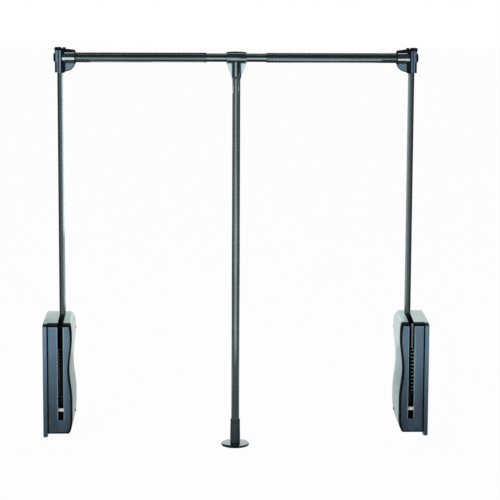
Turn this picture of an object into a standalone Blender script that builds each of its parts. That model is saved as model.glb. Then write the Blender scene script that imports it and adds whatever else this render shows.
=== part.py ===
"""Pull-down wardrobe rail: sprung side housings, swinging arms, a telescopic rail and a pull pole.

Metres, +Z up, +X to the right, +Y away from the viewer. The origin lies midway between the two walls and
midway through the housings' depth, level with the underside of the pull pole's disc.
"""

import math

import bmesh
import bpy
from mathutils import Matrix, Vector

# Clearances
SEAT_GAP = 0.0003
RUN_GAP = 0.0003
LINK_PLAY = 0.0011
SLOT_PLAY = 0.0015
SWING_GAP = 0.0025

# Where the parts stand
WALL_SPAN = 0.858
RAIL_HEIGHT = 0.884
ARM_OFF_WALL = 0.039
ARM_TO_REAR = 0.039
PIVOT_SETBACK = 0.052
PIVOT_RISE = 0.074
ARM_LIMIT_DEG = 95.0

# Housing and its wall plate
HOUSING_DEPTH = 0.130
BODY_BASE = 0.052
BODY_HEIGHT = 0.248
BODY_WIDTH = 0.055
WAIST_DEPTH = 0.006
WAIST_RISE = 0.144
WAIST_REACH = 0.072
FOOT_TAPER = 0.009
FOOT_REACH = 0.031
HEAD_TAPER = 0.004
HEAD_REACH = 0.030
SHELL_WALL = 0.0025
REAR_ROUND = 0.010
BEZEL_DEPTH = 0.020
BEZEL_FACE = 0.003
BEZEL_ROUND = 0.004
SLOT_FOOT = 0.032
PLATE_THICK = 0.009
PLATE_DROP = 0.008
PLATE_SHORTFALL = 0.003
PLATE_CORNER = 0.004
WALL_HOLE_RADIUS = 0.00275
WALL_HOLE_INSET = 0.017
WALL_HOLE_MARGIN = 0.020

# Cover screws, measured from the housing's rear face and from the body's two ends
SCREW_RADIUS = 0.002
SCREW_HEAD_RADIUS = 0.0037
SCREW_HEAD_HEIGHT = 0.0022
SCREW_LENGTH = 0.014
COVER_POST_RADIUS = 0.0045
LOWER_SCREW_TO_REAR = 0.030
UPPER_SCREW_TO_REAR = 0.015
COVER_SCREW_MARGIN = 0.029

# Lever and what it turns on
LEVER_THICK = 0.008
HUB_RADIUS = 0.028
NECK_WIDTH = 0.020
NECK_LENGTH = 0.024
SPIGOT_LENGTH = 0.040
AXLE_RADIUS = 0.005
AXLE_SHY = 0.001
BUSH_WALL = 0.0017
BUSH_PROUD = 0.001
STOP_PIN_RADIUS = 0.004
STOP_REACH = 0.030
BUFFER_LENGTH = 0.014
BUFFER_HEIGHT = 0.012
BUFFER_WIDTH = 0.014

# Spring unit
CRANK_RADIUS = 0.022
CRANK_PIN_RADIUS = 0.004
YOKE_WIDTH = 0.018
YOKE_SIDE_GAP = 0.0015
YOKE_END_WALL = 0.003
YOKE_FLOOR = 0.004
YOKE_ROOF = 0.010
PLUNGER_RADIUS = 0.003
PLUNGER_SEAT = 0.006
PLUNGER_ENTRY = 0.012
SPRING_RADIUS = 0.0078
SPRING_WIRE_RADIUS = 0.0011
SPRING_TURNS = 12
DAMPER_WALL = 0.0047
DAMPER_END = 0.006
DAMPER_HEADROOM = 0.011
DAMPER_FOOT_WIDTH = 0.010
DAMPER_FOOT_MARGIN = 0.006

# Arm, bracket and rail
ARM_TUBE_RADIUS = 0.007
ARM_TUBE_WALL = 0.0012
RAIL_RADIUS = 0.011
RAIL_WALL = 0.0012
RAIL_SEAT = 0.006
RAIL_REVEAL = 0.044
RAIL_OVERLAP = 0.198
COLUMN_TO_RAIL = 0.010
COLUMN_TO_WALL = 0.0115
COLUMN_DEPTH = 0.024
COLUMN_TOP = 0.016
COLUMN_FOOT = 0.033
COLUMN_ROUND = 0.003
GROOVE_START = 0.002
GROOVE_WIDTH = 0.0035
GROOVE_DEPTH = 0.003
SOCKET_FLOOR = 0.0035
CAP_HEIGHT = 0.0062
CAP_LIP = 0.0008
BOSS_RADIUS = 0.0095
BOSS_LENGTH = 0.003
CUP_WALL = 0.0032
CUP_REACH = 0.034
FIN_THICK = 0.010
FIN_ROOT = 0.0205
FIN_TIP = 0.0165
BRACKET_WEB_THICK = 0.008
BRACKET_WEB_DROP = 0.031
BRACKET_WEB_SHY = 0.001
BRACKET_SCREW_REACH = 0.009

# Tee, pole, grip and disc
TEE_LENGTH = 0.045
TEE_WALL = 0.00295
TEE_CROWN = 0.00125
SLEEVE_WALL = 0.0017
SLEEVE_DROP = 0.047
SLEEVE_CHAMFER = 0.002
TEE_WEB_THICK = 0.005
TEE_WEB_DROP = 0.038
TEE_WEB_TOE = 0.0015
TEE_SCREW_DROP = 0.032
POLE_RADIUS = 0.009
POLE_WALL = 0.0012
POLE_HEADROOM = 0.0015
GRIP_HEIGHT = 0.047
GRIP_WALL = 0.0015
GRIP_FLARE = 0.0006
GRIP_FLOOR = 0.016
COLLAR_HEIGHT = 0.007
COLLAR_ROUND = 0.0012
DISC_RADIUS = 0.0315
DISC_RIM = 0.0035
DISC_RISE = 0.0025
DISC_RIM_ROUND = 0.001
DISC_SCREW_LENGTH = 0.012

# Fineness of round forms
ROUND_SIDES = 24
PIN_SIDES = 16
SCREW_SIDES = 12
ARC_STEPS = 3

# Worked out from the sizes above
CUT_OVER = 0.001
FRONT_Y = -HOUSING_DEPTH / 2
REAR_Y = HOUSING_DEPTH / 2
SEAM_Y = FRONT_Y + BEZEL_DEPTH
BODY_TOP = BODY_BASE + BODY_HEIGHT
WALL_X = WALL_SPAN / 2
PLATE_X = WALL_X - PLATE_THICK
ARM_X = WALL_X - ARM_OFF_WALL
ARM_Y = REAR_Y - ARM_TO_REAR
PIVOT_Y = FRONT_Y + PIVOT_SETBACK
PIVOT_Z = BODY_BASE + PIVOT_RISE
ARM_LIMIT = math.radians(ARM_LIMIT_DEG)
SLOT_WIDTH = LEVER_THICK + 2 * SLOT_PLAY
BUSH_RADIUS = AXLE_RADIUS + RUN_GAP + BUSH_WALL
SPIGOT_RADIUS = ARM_TUBE_RADIUS - ARM_TUBE_WALL - SEAT_GAP
INNER_RADIUS = RAIL_RADIUS - RAIL_WALL - RUN_GAP
CUP_RADIUS = RAIL_RADIUS + SEAT_GAP + CUP_WALL
TEE_END_RADIUS = INNER_RADIUS + RUN_GAP + TEE_WALL
SLEEVE_RADIUS = POLE_RADIUS + SEAT_GAP + SLEEVE_WALL
GRIP_RADIUS = POLE_RADIUS + SEAT_GAP + GRIP_WALL
DAMPER_RADIUS = PLUNGER_RADIUS + RUN_GAP + DAMPER_WALL
RAIL_MOUTH_X = TEE_LENGTH / 2 + RAIL_REVEAL
CAP_TOP = COLUMN_TOP + SEAT_GAP + CAP_HEIGHT
DISC_TOP = DISC_RIM + DISC_RISE
UNIT_OFFSET = LEVER_THICK / 2 + YOKE_SIDE_GAP + YOKE_WIDTH / 2
SIDES = {"left": -1, "right": 1}


def clear_scene():
    """Remove every object that is in the file already."""
    for thing in list(bpy.data.objects):
        bpy.data.objects.remove(thing, do_unlink=True)


def finish(name, colour, roughness, metallic):
    """Make a plain Principled material."""
    material = bpy.data.materials.new(name)
    material.use_nodes = True
    shader = material.node_tree.nodes["Principled BSDF"]
    shader.inputs["Base Color"].default_value = (*colour, 1.0)
    shader.inputs["Roughness"].default_value = roughness
    shader.inputs["Metallic"].default_value = metallic
    material.diffuse_color = (*colour, 1.0)
    return material


def make_object(name, bm, material=None):
    """Turn a bmesh into a named object with its faces pointing out."""
    bmesh.ops.remove_doubles(bm, verts=bm.verts, dist=1e-7)
    bmesh.ops.recalc_face_normals(bm, faces=bm.faces)
    mesh = bpy.data.meshes.new(name)
    bm.to_mesh(mesh)
    bm.free()
    mesh.shade_smooth()
    mesh.set_sharp_from_angle(angle=math.radians(35))
    if material:
        mesh.materials.append(material)
    made = bpy.data.objects.new(name, mesh)
    bpy.context.scene.collection.objects.link(made)
    return made


def prism(name, outline, axis, low, high, material=None):
    """Extrude a flat outline along X, Y or Z. The outline gives the other two coordinates in X, Y, Z order."""
    slot = "XYZ".index(axis)
    bm = bmesh.new()
    corners = []
    for first, second in outline:
        place = [first, second]
        place.insert(slot, low)
        corners.append(bm.verts.new(place))
    base = bm.faces.new(corners)
    grown = bmesh.ops.extrude_face_region(bm, geom=[base])
    top = [item for item in grown["geom"] if isinstance(item, bmesh.types.BMVert)]
    shift = Vector((0, 0, 0))
    shift[slot] = high - low
    bmesh.ops.translate(bm, verts=top, vec=shift)
    return make_object(name, bm, material)


def block(name, low, high, material=None):
    """Make a box between two corners, in any order."""
    xs, ys, zs = [sorted(pair) for pair in zip(low, high)]
    outline = [(xs[0], ys[0]), (xs[1], ys[0]), (xs[1], ys[1]), (xs[0], ys[1])]
    return prism(name, outline, "Z", zs[0], zs[1], material)


def turned(name, profile, axis, centre, sides, material=None):
    """Spin a profile of (radius, distance along the axis). A profile that leaves the axis free is a ring."""
    bm = bmesh.new()
    chain = [bm.verts.new((radius, 0, along)) for radius, along in profile]
    edges = [bm.edges.new(pair) for pair in zip(chain, chain[1:])]
    if profile[0][0] > 0:
        edges.append(bm.edges.new((chain[-1], chain[0])))
    bmesh.ops.spin(bm, geom=chain + edges, cent=(0, 0, 0), axis=(0, 0, 1),
                   angle=math.tau, steps=sides, use_merge=True)
    turn = {"X": Matrix.Rotation(math.pi / 2, 3, "Y"),
            "Y": Matrix.Rotation(-math.pi / 2, 3, "X"),
            "Z": Matrix.Identity(3)}[axis]
    bmesh.ops.rotate(bm, verts=bm.verts, cent=(0, 0, 0), matrix=turn)
    bmesh.ops.translate(bm, verts=bm.verts, vec=centre)
    return make_object(name, bm, material)


def rod(name, radius, low, high, axis, centre, sides, material=None):
    """A plain round bar from low to high along its axis."""
    profile = [(0, low), (radius, low), (radius, high), (0, high)]
    return turned(name, profile, axis, centre, sides, material)


def pipe(name, radius, wall, low, high, axis, centre, sides, material=None):
    """A round tube that is open at both ends."""
    inner = radius - wall
    profile = [(inner, low), (radius, low), (radius, high), (inner, high)]
    return turned(name, profile, axis, centre, sides, material)


def loft(name, loops, material=None):
    """Skin a row of closed loops with the same number of points, and cap both ends."""
    bm = bmesh.new()
    rows = [[bm.verts.new(point) for point in loop] for loop in loops]
    for near, far in zip(rows, rows[1:]):
        count = len(near)
        for index in range(count):
            following = (index + 1) % count
            bm.faces.new((near[index], near[following], far[following], far[index]))
    bm.faces.new(rows[0])
    bm.faces.new(rows[-1])
    return make_object(name, bm, material)


def use_tool(target, tool, operation):
    """Join a hidden helper to a piece, or cut it away."""
    tool.hide_render = True
    tool.display_type = "WIRE"
    step = target.modifiers.new(tool.name, "BOOLEAN")
    step.operation = operation
    step.solver = "EXACT"
    step.object = tool


def cut(target, *tools):
    for tool in tools:
        use_tool(target, tool, "DIFFERENCE")


def join(target, *tools):
    for tool in tools:
        use_tool(target, tool, "UNION")


def use_manifold_solver(target):
    """For the castings, where so many round cuts meet that the exact solver leaves open edges."""
    for step in target.modifiers:
        step.solver = "MANIFOLD"


def arc(centre, radii, start_deg, end_deg, steps):
    """Points on a quarter of an ellipse, or on any other stretch of it."""
    points = []
    for step in range(steps + 1):
        angle = math.radians(start_deg + (end_deg - start_deg) * step / steps)
        points.append((centre[0] + radii[0] * math.cos(angle), centre[1] + radii[1] * math.sin(angle)))
    return points


def rounded_box(low, high, radius):
    """Outline of a rectangle with round corners."""
    inner_low = (low[0] + radius, low[1] + radius)
    inner_high = (high[0] - radius, high[1] - radius)
    centres = [inner_high, (inner_low[0], inner_high[1]), inner_low, (inner_high[0], inner_low[1])]
    points = []
    for quarter, centre in enumerate(centres):
        points += arc(centre, (radius, radius), 90 * quarter, 90 * quarter + 90, ARC_STEPS)
    return points


def screw(name, axis, seat, direction, length, material):
    """A domed screw: the head's underside is at the seat, and the shank runs against the direction."""
    slot = "XYZ".index(axis)
    centre = list(seat)
    centre[slot] = 0
    start = seat[slot]
    shoulder = 0.6 * SCREW_HEAD_HEIGHT
    profile = [(0, start - direction * length),
               (SCREW_RADIUS, start - direction * length),
               (SCREW_RADIUS, start),
               (SCREW_HEAD_RADIUS, start),
               (SCREW_HEAD_RADIUS, start + direction * shoulder),
               (SCREW_HEAD_RADIUS / 2, start + direction * SCREW_HEAD_HEIGHT),
               (0, start + direction * SCREW_HEAD_HEIGHT)]
    return turned(name, profile, axis, centre, SCREW_SIDES, material)


def waist_width(rise):
    """How far the body stands from the wall plate at a height between its two end curves."""
    away = min(abs(rise - WAIST_RISE) / WAIST_REACH, 1.0)
    return BODY_WIDTH - WAIST_DEPTH * (1 + math.cos(math.pi * away)) / 2


def room_side_curve():
    """The body's waisted side, from its foot to its head, as (width, rise)."""
    foot = arc((BODY_WIDTH - FOOT_TAPER, FOOT_REACH), (FOOT_TAPER, FOOT_REACH), -90, 0, ARC_STEPS + 1)
    head_start = BODY_HEIGHT - HEAD_REACH
    head = arc((BODY_WIDTH - HEAD_TAPER, head_start), (HEAD_TAPER, HEAD_REACH), 0, 90, ARC_STEPS)
    waist_low = WAIST_RISE - WAIST_REACH
    waist_high = min(WAIST_RISE + WAIST_REACH, head_start)
    waist_steps = 8
    waist = []
    for step in range(waist_steps):
        rise = waist_low + (waist_high - waist_low) * step / waist_steps
        waist.append((waist_width(rise), rise))
    return foot + waist + head


def body_width(rise):
    """The body's width at any height, read from the same curve."""
    curve = room_side_curve()
    for (width_a, rise_a), (width_b, rise_b) in zip(curve, curve[1:]):
        if rise_a <= rise <= rise_b:
            share = (rise - rise_a) / (rise_b - rise_a)
            return width_a + (width_b - width_a) * share
    return BODY_WIDTH


def clear_width(rise, radius):
    """The room inside the shell's wall at a height, where it is narrowest over a round piece."""
    reach = radius + SHELL_WALL
    return min(body_width(rise + step) for step in (-reach, 0, reach)) - SHELL_WALL


def body_loop(side, y, inset, plate_edge):
    """The body's outline at one depth, drawn in by inset on all sides but the plate's."""
    squeeze = (BODY_HEIGHT - 2 * inset) / BODY_HEIGHT
    curve = [(width - inset, inset + rise * squeeze) for width, rise in room_side_curve()]
    outline = [(plate_edge, inset)] + curve + [(plate_edge, BODY_HEIGHT - inset)]
    return [(side * (PLATE_X - width), y, BODY_BASE + rise) for width, rise in outline]


def rounded_end_loops(side, flat_y, end_y, radius, inset, plate_edge):
    """Loops that close the body with a round edge between flat_y's side and end_y."""
    toward = 1 if end_y > flat_y else -1
    loops = []
    for step in range(ARC_STEPS + 1):
        angle = math.pi / 2 * step / ARC_STEPS
        y = end_y - toward * radius * (1 - math.sin(angle))
        loops.append(body_loop(side, y, inset + radius * (1 - math.cos(angle)), plate_edge))
    return loops


def lever_slot(name, side, low_y, high_y, low_z):
    """The cutter for the slot that the lever swings through, open at the top."""
    half = SLOT_WIDTH / 2
    return block(name, (side * ARM_X - half, low_y, low_z), (side * ARM_X + half, high_y, BODY_TOP + CUT_OVER))


def rotate_point(point, angle):
    """Turn a (y, z) pair forward about the origin, as the lever turns."""
    turn_cos = math.cos(angle)
    turn_sin = math.sin(angle)
    return (point[0] * turn_cos - point[1] * turn_sin, point[0] * turn_sin + point[1] * turn_cos)


def polar(radius, angle):
    return (radius * math.cos(angle), radius * math.sin(angle))


def lever_layout():
    """The lever's corners and tangents, as (y, z) from its pivot."""
    arm_offset = ARM_Y - PIVOT_Y
    edge_y = FRONT_Y + BEZEL_ROUND - PIVOT_Y
    edge_z = BODY_TOP - BEZEL_ROUND - PIVOT_Z
    sweep = math.hypot(edge_y, edge_z) + BEZEL_ROUND + SWING_GAP
    tube_start = math.sqrt(sweep ** 2 - (arm_offset - ARM_TUBE_RADIUS) ** 2)
    neck_foot = BODY_TOP - NECK_LENGTH - PIVOT_Z
    front_corner = (arm_offset - NECK_WIDTH / 2, neck_foot)
    rear_corner = (arm_offset + NECK_WIDTH / 2, neck_foot)
    front_angle = math.atan2(front_corner[1], front_corner[0])
    front_angle += math.acos(HUB_RADIUS / math.hypot(*front_corner))
    rear_angle = math.atan2(rear_corner[1], rear_corner[0])
    rear_angle -= math.acos(HUB_RADIUS / math.hypot(*rear_corner))
    return {"arm_offset": arm_offset, "tube_start": tube_start, "front_corner": front_corner,
            "rear_corner": rear_corner, "front_angle": front_angle, "rear_angle": rear_angle}


def stop_pin_place(layout):
    """Where the pin's centre stands so that it meets the lever's front edge at the end of the swing."""
    normal = polar(1.0, layout["front_angle"] + ARM_LIMIT)
    along = rotate_point((math.sin(layout["front_angle"]), -math.cos(layout["front_angle"])), ARM_LIMIT)
    off = HUB_RADIUS + STOP_PIN_RADIUS + SEAT_GAP
    return (PIVOT_Y + off * normal[0] + STOP_REACH * along[0],
            PIVOT_Z + off * normal[1] + STOP_REACH * along[1])


def spring_unit_layout():
    """Heights and travel of the spring unit, with the crank pin as far below its pivot as it ends above it."""
    half_swing = ARM_LIMIT / 2
    travel = 2 * CRANK_RADIUS * math.sin(half_swing)
    near = CRANK_RADIUS * math.cos(half_swing)
    pin_drop = CRANK_RADIUS * math.sin(half_swing)
    half_slot = (CRANK_RADIUS - near) / 2 + CRANK_PIN_RADIUS + LINK_PLAY
    slot_rise = CRANK_PIN_RADIUS + LINK_PLAY
    pin_z = PIVOT_Z - pin_drop
    yoke_top = pin_z + slot_rise + YOKE_ROOF
    damper_top = BODY_TOP - SHELL_WALL - DAMPER_HEADROOM
    bore_top = damper_top - DAMPER_END
    damper_foot = bore_top - PLUNGER_SEAT - travel - PLUNGER_ENTRY
    return {"travel": travel, "y": PIVOT_Y + (near + CRANK_RADIUS) / 2, "pin_y": PIVOT_Y + near, "pin_z": pin_z,
            "half_slot": half_slot, "slot_rise": slot_rise, "yoke_low": pin_z - slot_rise - YOKE_FLOOR,
            "yoke_top": yoke_top, "damper_foot": damper_foot, "bore_top": bore_top, "damper_top": damper_top}


def cover_screw_places():
    """Each cover screw's name, depth and height."""
    return {"lower": (REAR_Y - LOWER_SCREW_TO_REAR, COVER_SCREW_MARGIN),
            "upper": (REAR_Y - UPPER_SCREW_TO_REAR, BODY_HEIGHT - COVER_SCREW_MARGIN)}


def make_mounting_plate(name, side, paint):
    """Wall plate with its cover posts, its axle and pin holes, and four holes for wall screws."""
    low_z = BODY_BASE - PLATE_DROP
    high_z = BODY_TOP - PLATE_SHORTFALL
    outline = rounded_box((FRONT_Y, low_z), (REAR_Y, high_z), PLATE_CORNER)
    plate = prism(name + "mounting_plate", outline, "X", side * PLATE_X, side * WALL_X, paint["slate"])
    for label, (y, rise) in cover_screw_places().items():
        face = PLATE_X - clear_width(rise, COVER_POST_RADIUS) + SEAT_GAP
        low, high = sorted((side * face, side * (PLATE_X + PLATE_THICK / 2)))
        post = rod(f"{name}{label}_post_tool", COVER_POST_RADIUS, low, high, "X", (0, y, BODY_BASE + rise), PIN_SIDES)
        join(plate, post)
        low, high = sorted((side * (face - CUT_OVER), side * (face + SCREW_LENGTH + CUT_OVER)))
        hole = rod(f"{name}{label}_post_hole_tool", SCREW_RADIUS + SEAT_GAP, low, high, "X",
                   (0, y, BODY_BASE + rise), SCREW_SIDES)
        cut(plate, hole)
    low, high = sorted((side * (PLATE_X - CUT_OVER), side * (WALL_X + CUT_OVER)))
    stop_y, stop_z = stop_pin_place(lever_layout())
    cut(plate, rod(name + "axle_hole_tool", AXLE_RADIUS + SEAT_GAP, low, high, "X", (0, PIVOT_Y, PIVOT_Z), PIN_SIDES))
    cut(plate, rod(name + "stop_hole_tool", STOP_PIN_RADIUS + SEAT_GAP, low, high, "X", (0, stop_y, stop_z), PIN_SIDES))
    for y in (FRONT_Y + WALL_HOLE_INSET, REAR_Y - WALL_HOLE_INSET):
        for z in (low_z + WALL_HOLE_MARGIN, high_z - WALL_HOLE_MARGIN):
            cut(plate, rod(name + "wall_hole_tool", WALL_HOLE_RADIUS, low, high, "X", (0, y, z), SCREW_SIDES))
    return plate


def make_housing_shell(name, side, paint):
    """Pale cover: open towards the plate and the bezel, with the lever's slot in its top."""
    front = SEAM_Y + SEAT_GAP
    loops = [body_loop(side, front, 0, SEAT_GAP)]
    loops += rounded_end_loops(side, front, REAR_Y, REAR_ROUND, 0, SEAT_GAP)
    shell = loft(name + "housing_shell", loops, paint["shell"])
    hollow = [body_loop(side, front - CUT_OVER, SHELL_WALL, -CUT_OVER)]
    hollow += rounded_end_loops(side, front, REAR_Y - SHELL_WALL, REAR_ROUND - SHELL_WALL, SHELL_WALL, -CUT_OVER)
    cut(shell, loft(name + "shell_hollow_tool", hollow))
    slot_end = ARM_Y + NECK_WIDTH / 2 + 2 * SLOT_PLAY
    slot_floor = BODY_TOP - SHELL_WALL - CUT_OVER
    cut(shell, lever_slot(name + "shell_slot_tool", side, front - CUT_OVER, slot_end, slot_floor))
    for label, (y, rise) in cover_screw_places().items():
        face = PLATE_X - body_width(rise)
        low, high = sorted((side * (face - CUT_OVER), side * (face + SHELL_WALL + CUT_OVER)))
        cut(shell, rod(f"{name}{label}_shell_hole_tool", SCREW_RADIUS + SEAT_GAP, low, high, "X",
                       (0, y, BODY_BASE + rise), SCREW_SIDES))
    return shell


def make_front_bezel(name, side, paint):
    """Dark front frame: open at the back and towards the plate, with the long slot in its face."""
    loops = [body_loop(side, SEAM_Y, 0, SEAT_GAP)]
    loops += rounded_end_loops(side, SEAM_Y, FRONT_Y, BEZEL_ROUND, 0, SEAT_GAP)
    bezel = loft(name + "front_bezel", loops, paint["slate"])
    hollow = [body_loop(side, SEAM_Y + CUT_OVER, SHELL_WALL, -CUT_OVER)]
    hollow += [body_loop(side, FRONT_Y + BEZEL_FACE + BEZEL_ROUND / 2, SHELL_WALL, -CUT_OVER)]
    hollow += [body_loop(side, FRONT_Y + BEZEL_FACE, SHELL_WALL + BEZEL_ROUND / 2, -CUT_OVER)]
    cut(bezel, loft(name + "bezel_hollow_tool", hollow))
    slot_foot = BODY_BASE + SLOT_FOOT
    cut(bezel, lever_slot(name + "bezel_slot_tool", side, FRONT_Y - CUT_OVER, SEAM_Y + CUT_OVER, slot_foot))
    return bezel


def make_lever(name, side, paint):
    """Flat cranked lever with its hub, neck and round spigot."""
    layout = lever_layout()
    half = LEVER_THICK / 2
    outline = []
    hub_steps = 14
    span = layout["rear_angle"] + math.tau - layout["front_angle"]
    for step in range(hub_steps + 1):
        outline.append(polar(HUB_RADIUS, layout["front_angle"] + span * step / hub_steps))
    neck_top = layout["tube_start"] - SEAT_GAP
    rear_y, rear_z = layout["rear_corner"]
    front_y, front_z = layout["front_corner"]
    outline += [(rear_y, rear_z), (rear_y, neck_top), (front_y, neck_top), (front_y, front_z)]
    placed = [(PIVOT_Y + y, PIVOT_Z + z) for y, z in outline]
    x = side * ARM_X
    lever = prism(name + "lever", placed, "X", x - half, x + half, paint["steel"])
    spigot_foot = PIVOT_Z + neck_top - NECK_WIDTH / 4
    spigot_top = PIVOT_Z + neck_top + SPIGOT_LENGTH
    join(lever, rod(name + "spigot_tool", SPIGOT_RADIUS, spigot_foot, spigot_top, "Z", (x, ARM_Y, 0), ROUND_SIDES))
    unit = spring_unit_layout()
    low, high = x - half - CUT_OVER, x + half + CUT_OVER
    cut(lever, rod(name + "hub_bore_tool", BUSH_RADIUS + SEAT_GAP, low, high, "X", (0, PIVOT_Y, PIVOT_Z), ROUND_SIDES))
    cut(lever, rod(name + "crank_hole_tool", CRANK_PIN_RADIUS + SEAT_GAP, low, high, "X",
                   (0, unit["pin_y"], unit["pin_z"]), PIN_SIDES))
    return lever


def make_pivot_pieces(name, side, paint):
    """Axle and stop pin in the plate, bush and crank pin on the lever, and the rubber rest buffer."""
    x = side * ARM_X
    stop_y, stop_z = stop_pin_place(lever_layout())
    pins = {"pivot_axle": (AXLE_RADIUS, PIVOT_Y, PIVOT_Z), "stop_pin": (STOP_PIN_RADIUS, stop_y, stop_z)}
    made = {}
    for label, (radius, y, z) in pins.items():
        inner_face = PLATE_X - clear_width(z - BODY_BASE, radius) + SEAT_GAP
        low, high = sorted((side * inner_face, side * (WALL_X - AXLE_SHY)))
        made[label] = rod(name + label, radius, low, high, "X", (0, y, z), PIN_SIDES, paint["bright"])
    half_bush = LEVER_THICK / 2 + BUSH_PROUD
    made["lever_bush"] = pipe(name + "lever_bush", BUSH_RADIUS, BUSH_WALL, x - half_bush, x + half_bush, "X",
                              (0, PIVOT_Y, PIVOT_Z), ROUND_SIDES, paint["bush"])
    unit = spring_unit_layout()
    low, high = sorted((x - side * LEVER_THICK / 2, x + side * (UNIT_OFFSET + YOKE_WIDTH / 2)))
    made["crank_pin"] = rod(name + "crank_pin", CRANK_PIN_RADIUS, low, high, "X",
                            (0, unit["pin_y"], unit["pin_z"]), PIN_SIDES, paint["bright"])
    buffer_y = ARM_Y + NECK_WIDTH / 2 + SEAT_GAP
    buffer_top = BODY_TOP - SHELL_WALL - SEAT_GAP
    made["rest_buffer"] = block(name + "rest_buffer", (x - BUFFER_WIDTH / 2, buffer_y, buffer_top - BUFFER_HEIGHT),
                                (x + BUFFER_WIDTH / 2, buffer_y + BUFFER_LENGTH, buffer_top), paint["rubber"])
    return made


def make_spring_unit(name, side, paint):
    """Yoke, plunger rod, coil spring and damper, on the wall side of the lever."""
    unit = spring_unit_layout()
    x = side * (ARM_X + UNIT_OFFSET)
    y = unit["y"]
    half_width = YOKE_WIDTH / 2
    half_length = unit["half_slot"] + YOKE_END_WALL
    yoke = block(name + "yoke", (x - half_width, y - half_length, unit["yoke_low"]),
                 (x + half_width, y + half_length, unit["yoke_top"]), paint["steel"])
    window = block(name + "yoke_slot_tool",
                   (x - half_width - CUT_OVER, y - unit["half_slot"], unit["pin_z"] - unit["slot_rise"]),
                   (x + half_width + CUT_OVER, y + unit["half_slot"], unit["pin_z"] + unit["slot_rise"]))
    rod_foot = unit["yoke_top"] - PLUNGER_SEAT
    socket = rod(name + "yoke_socket_tool", PLUNGER_RADIUS + SEAT_GAP, rod_foot - SEAT_GAP,
                 unit["yoke_top"] + CUT_OVER, "Z", (x, y, 0), PIN_SIDES)
    cut(yoke, window, socket)
    plunger = rod(name + "plunger_rod", PLUNGER_RADIUS, rod_foot, unit["damper_foot"] + PLUNGER_ENTRY, "Z",
                  (x, y, 0), PIN_SIDES, paint["bright"])
    damper = rod(name + "damper_cylinder", DAMPER_RADIUS, unit["damper_foot"], unit["damper_top"], "Z",
                 (x, y, 0), PIN_SIDES, paint["bright"])
    foot = block(name + "damper_foot_tool",
                 (x, y - DAMPER_FOOT_WIDTH / 2, unit["damper_foot"] + DAMPER_FOOT_MARGIN),
                 (side * (PLATE_X - SEAT_GAP), y + DAMPER_FOOT_WIDTH / 2, unit["damper_top"] - DAMPER_FOOT_MARGIN))
    join(damper, foot)
    cut(damper, rod(name + "damper_bore_tool", PLUNGER_RADIUS + RUN_GAP, unit["damper_foot"] - CUT_OVER,
                    unit["bore_top"], "Z", (x, y, 0), PIN_SIDES))
    spring = make_spring(name + "spring", x, y, unit["yoke_top"] + SEAT_GAP, unit["damper_foot"] - SEAT_GAP,
                         paint["bright"])
    return {"yoke": yoke, "plunger_rod": plunger, "damper_cylinder": damper, "spring": spring}


def make_spring(name, x, y, low_z, high_z, material):
    """One unbroken coil, whose least gap to itself is measured on its points."""
    points_a_turn = 9
    count = SPRING_TURNS * points_a_turn
    start = low_z + SPRING_WIRE_RADIUS
    rise = high_z - low_z - 2 * SPRING_WIRE_RADIUS
    route = []
    for index in range(count + 1):
        angle = math.tau * index / points_a_turn
        route.append(Vector((SPRING_RADIUS * math.cos(angle), SPRING_RADIUS * math.sin(angle),
                             start + rise * index / count)))
    curve = bpy.data.curves.new(name, "CURVE")
    curve.dimensions = "3D"
    curve.bevel_depth = SPRING_WIRE_RADIUS
    curve.bevel_resolution = 1
    curve.use_fill_caps = True
    spline = curve.splines.new("POLY")
    spline.points.add(count)
    for point, place in zip(spline.points, route):
        point.co = (x + place.x, y + place.y, place.z, 1.0)
    curve.materials.append(material)
    spring = bpy.data.objects.new(name, curve)
    bpy.context.scene.collection.objects.link(spring)
    half_turn = points_a_turn // 2
    least = min((route[a] - route[b]).length for a in range(count) for b in range(a + half_turn, count + 1))
    print(f"{name}: least gap between its turns {1000 * (least - 2 * SPRING_WIRE_RADIUS):.2f} mm")
    return spring


def make_cover_screws(name, side, paint):
    made = {}
    for label, (y, rise) in cover_screw_places().items():
        seat = (side * (PLATE_X - body_width(rise) - SEAT_GAP), y, BODY_BASE + rise)
        node = f"cover_screw_{label}"
        made[node] = screw(name + node, "X", seat, -side, SCREW_LENGTH, paint["dark"])
    return made


def make_arm_tube(name, side, paint):
    """Round arm between the lever's neck and the bracket's socket."""
    low = PIVOT_Z + lever_layout()["tube_start"]
    high = RAIL_HEIGHT - RAIL_RADIUS - SEAT_GAP - SOCKET_FLOOR
    return pipe(name + "arm_tube", ARM_TUBE_RADIUS, ARM_TUBE_WALL, low, high, "Z", (side * ARM_X, ARM_Y, 0),
                ROUND_SIDES, paint["gunmetal"])


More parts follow.
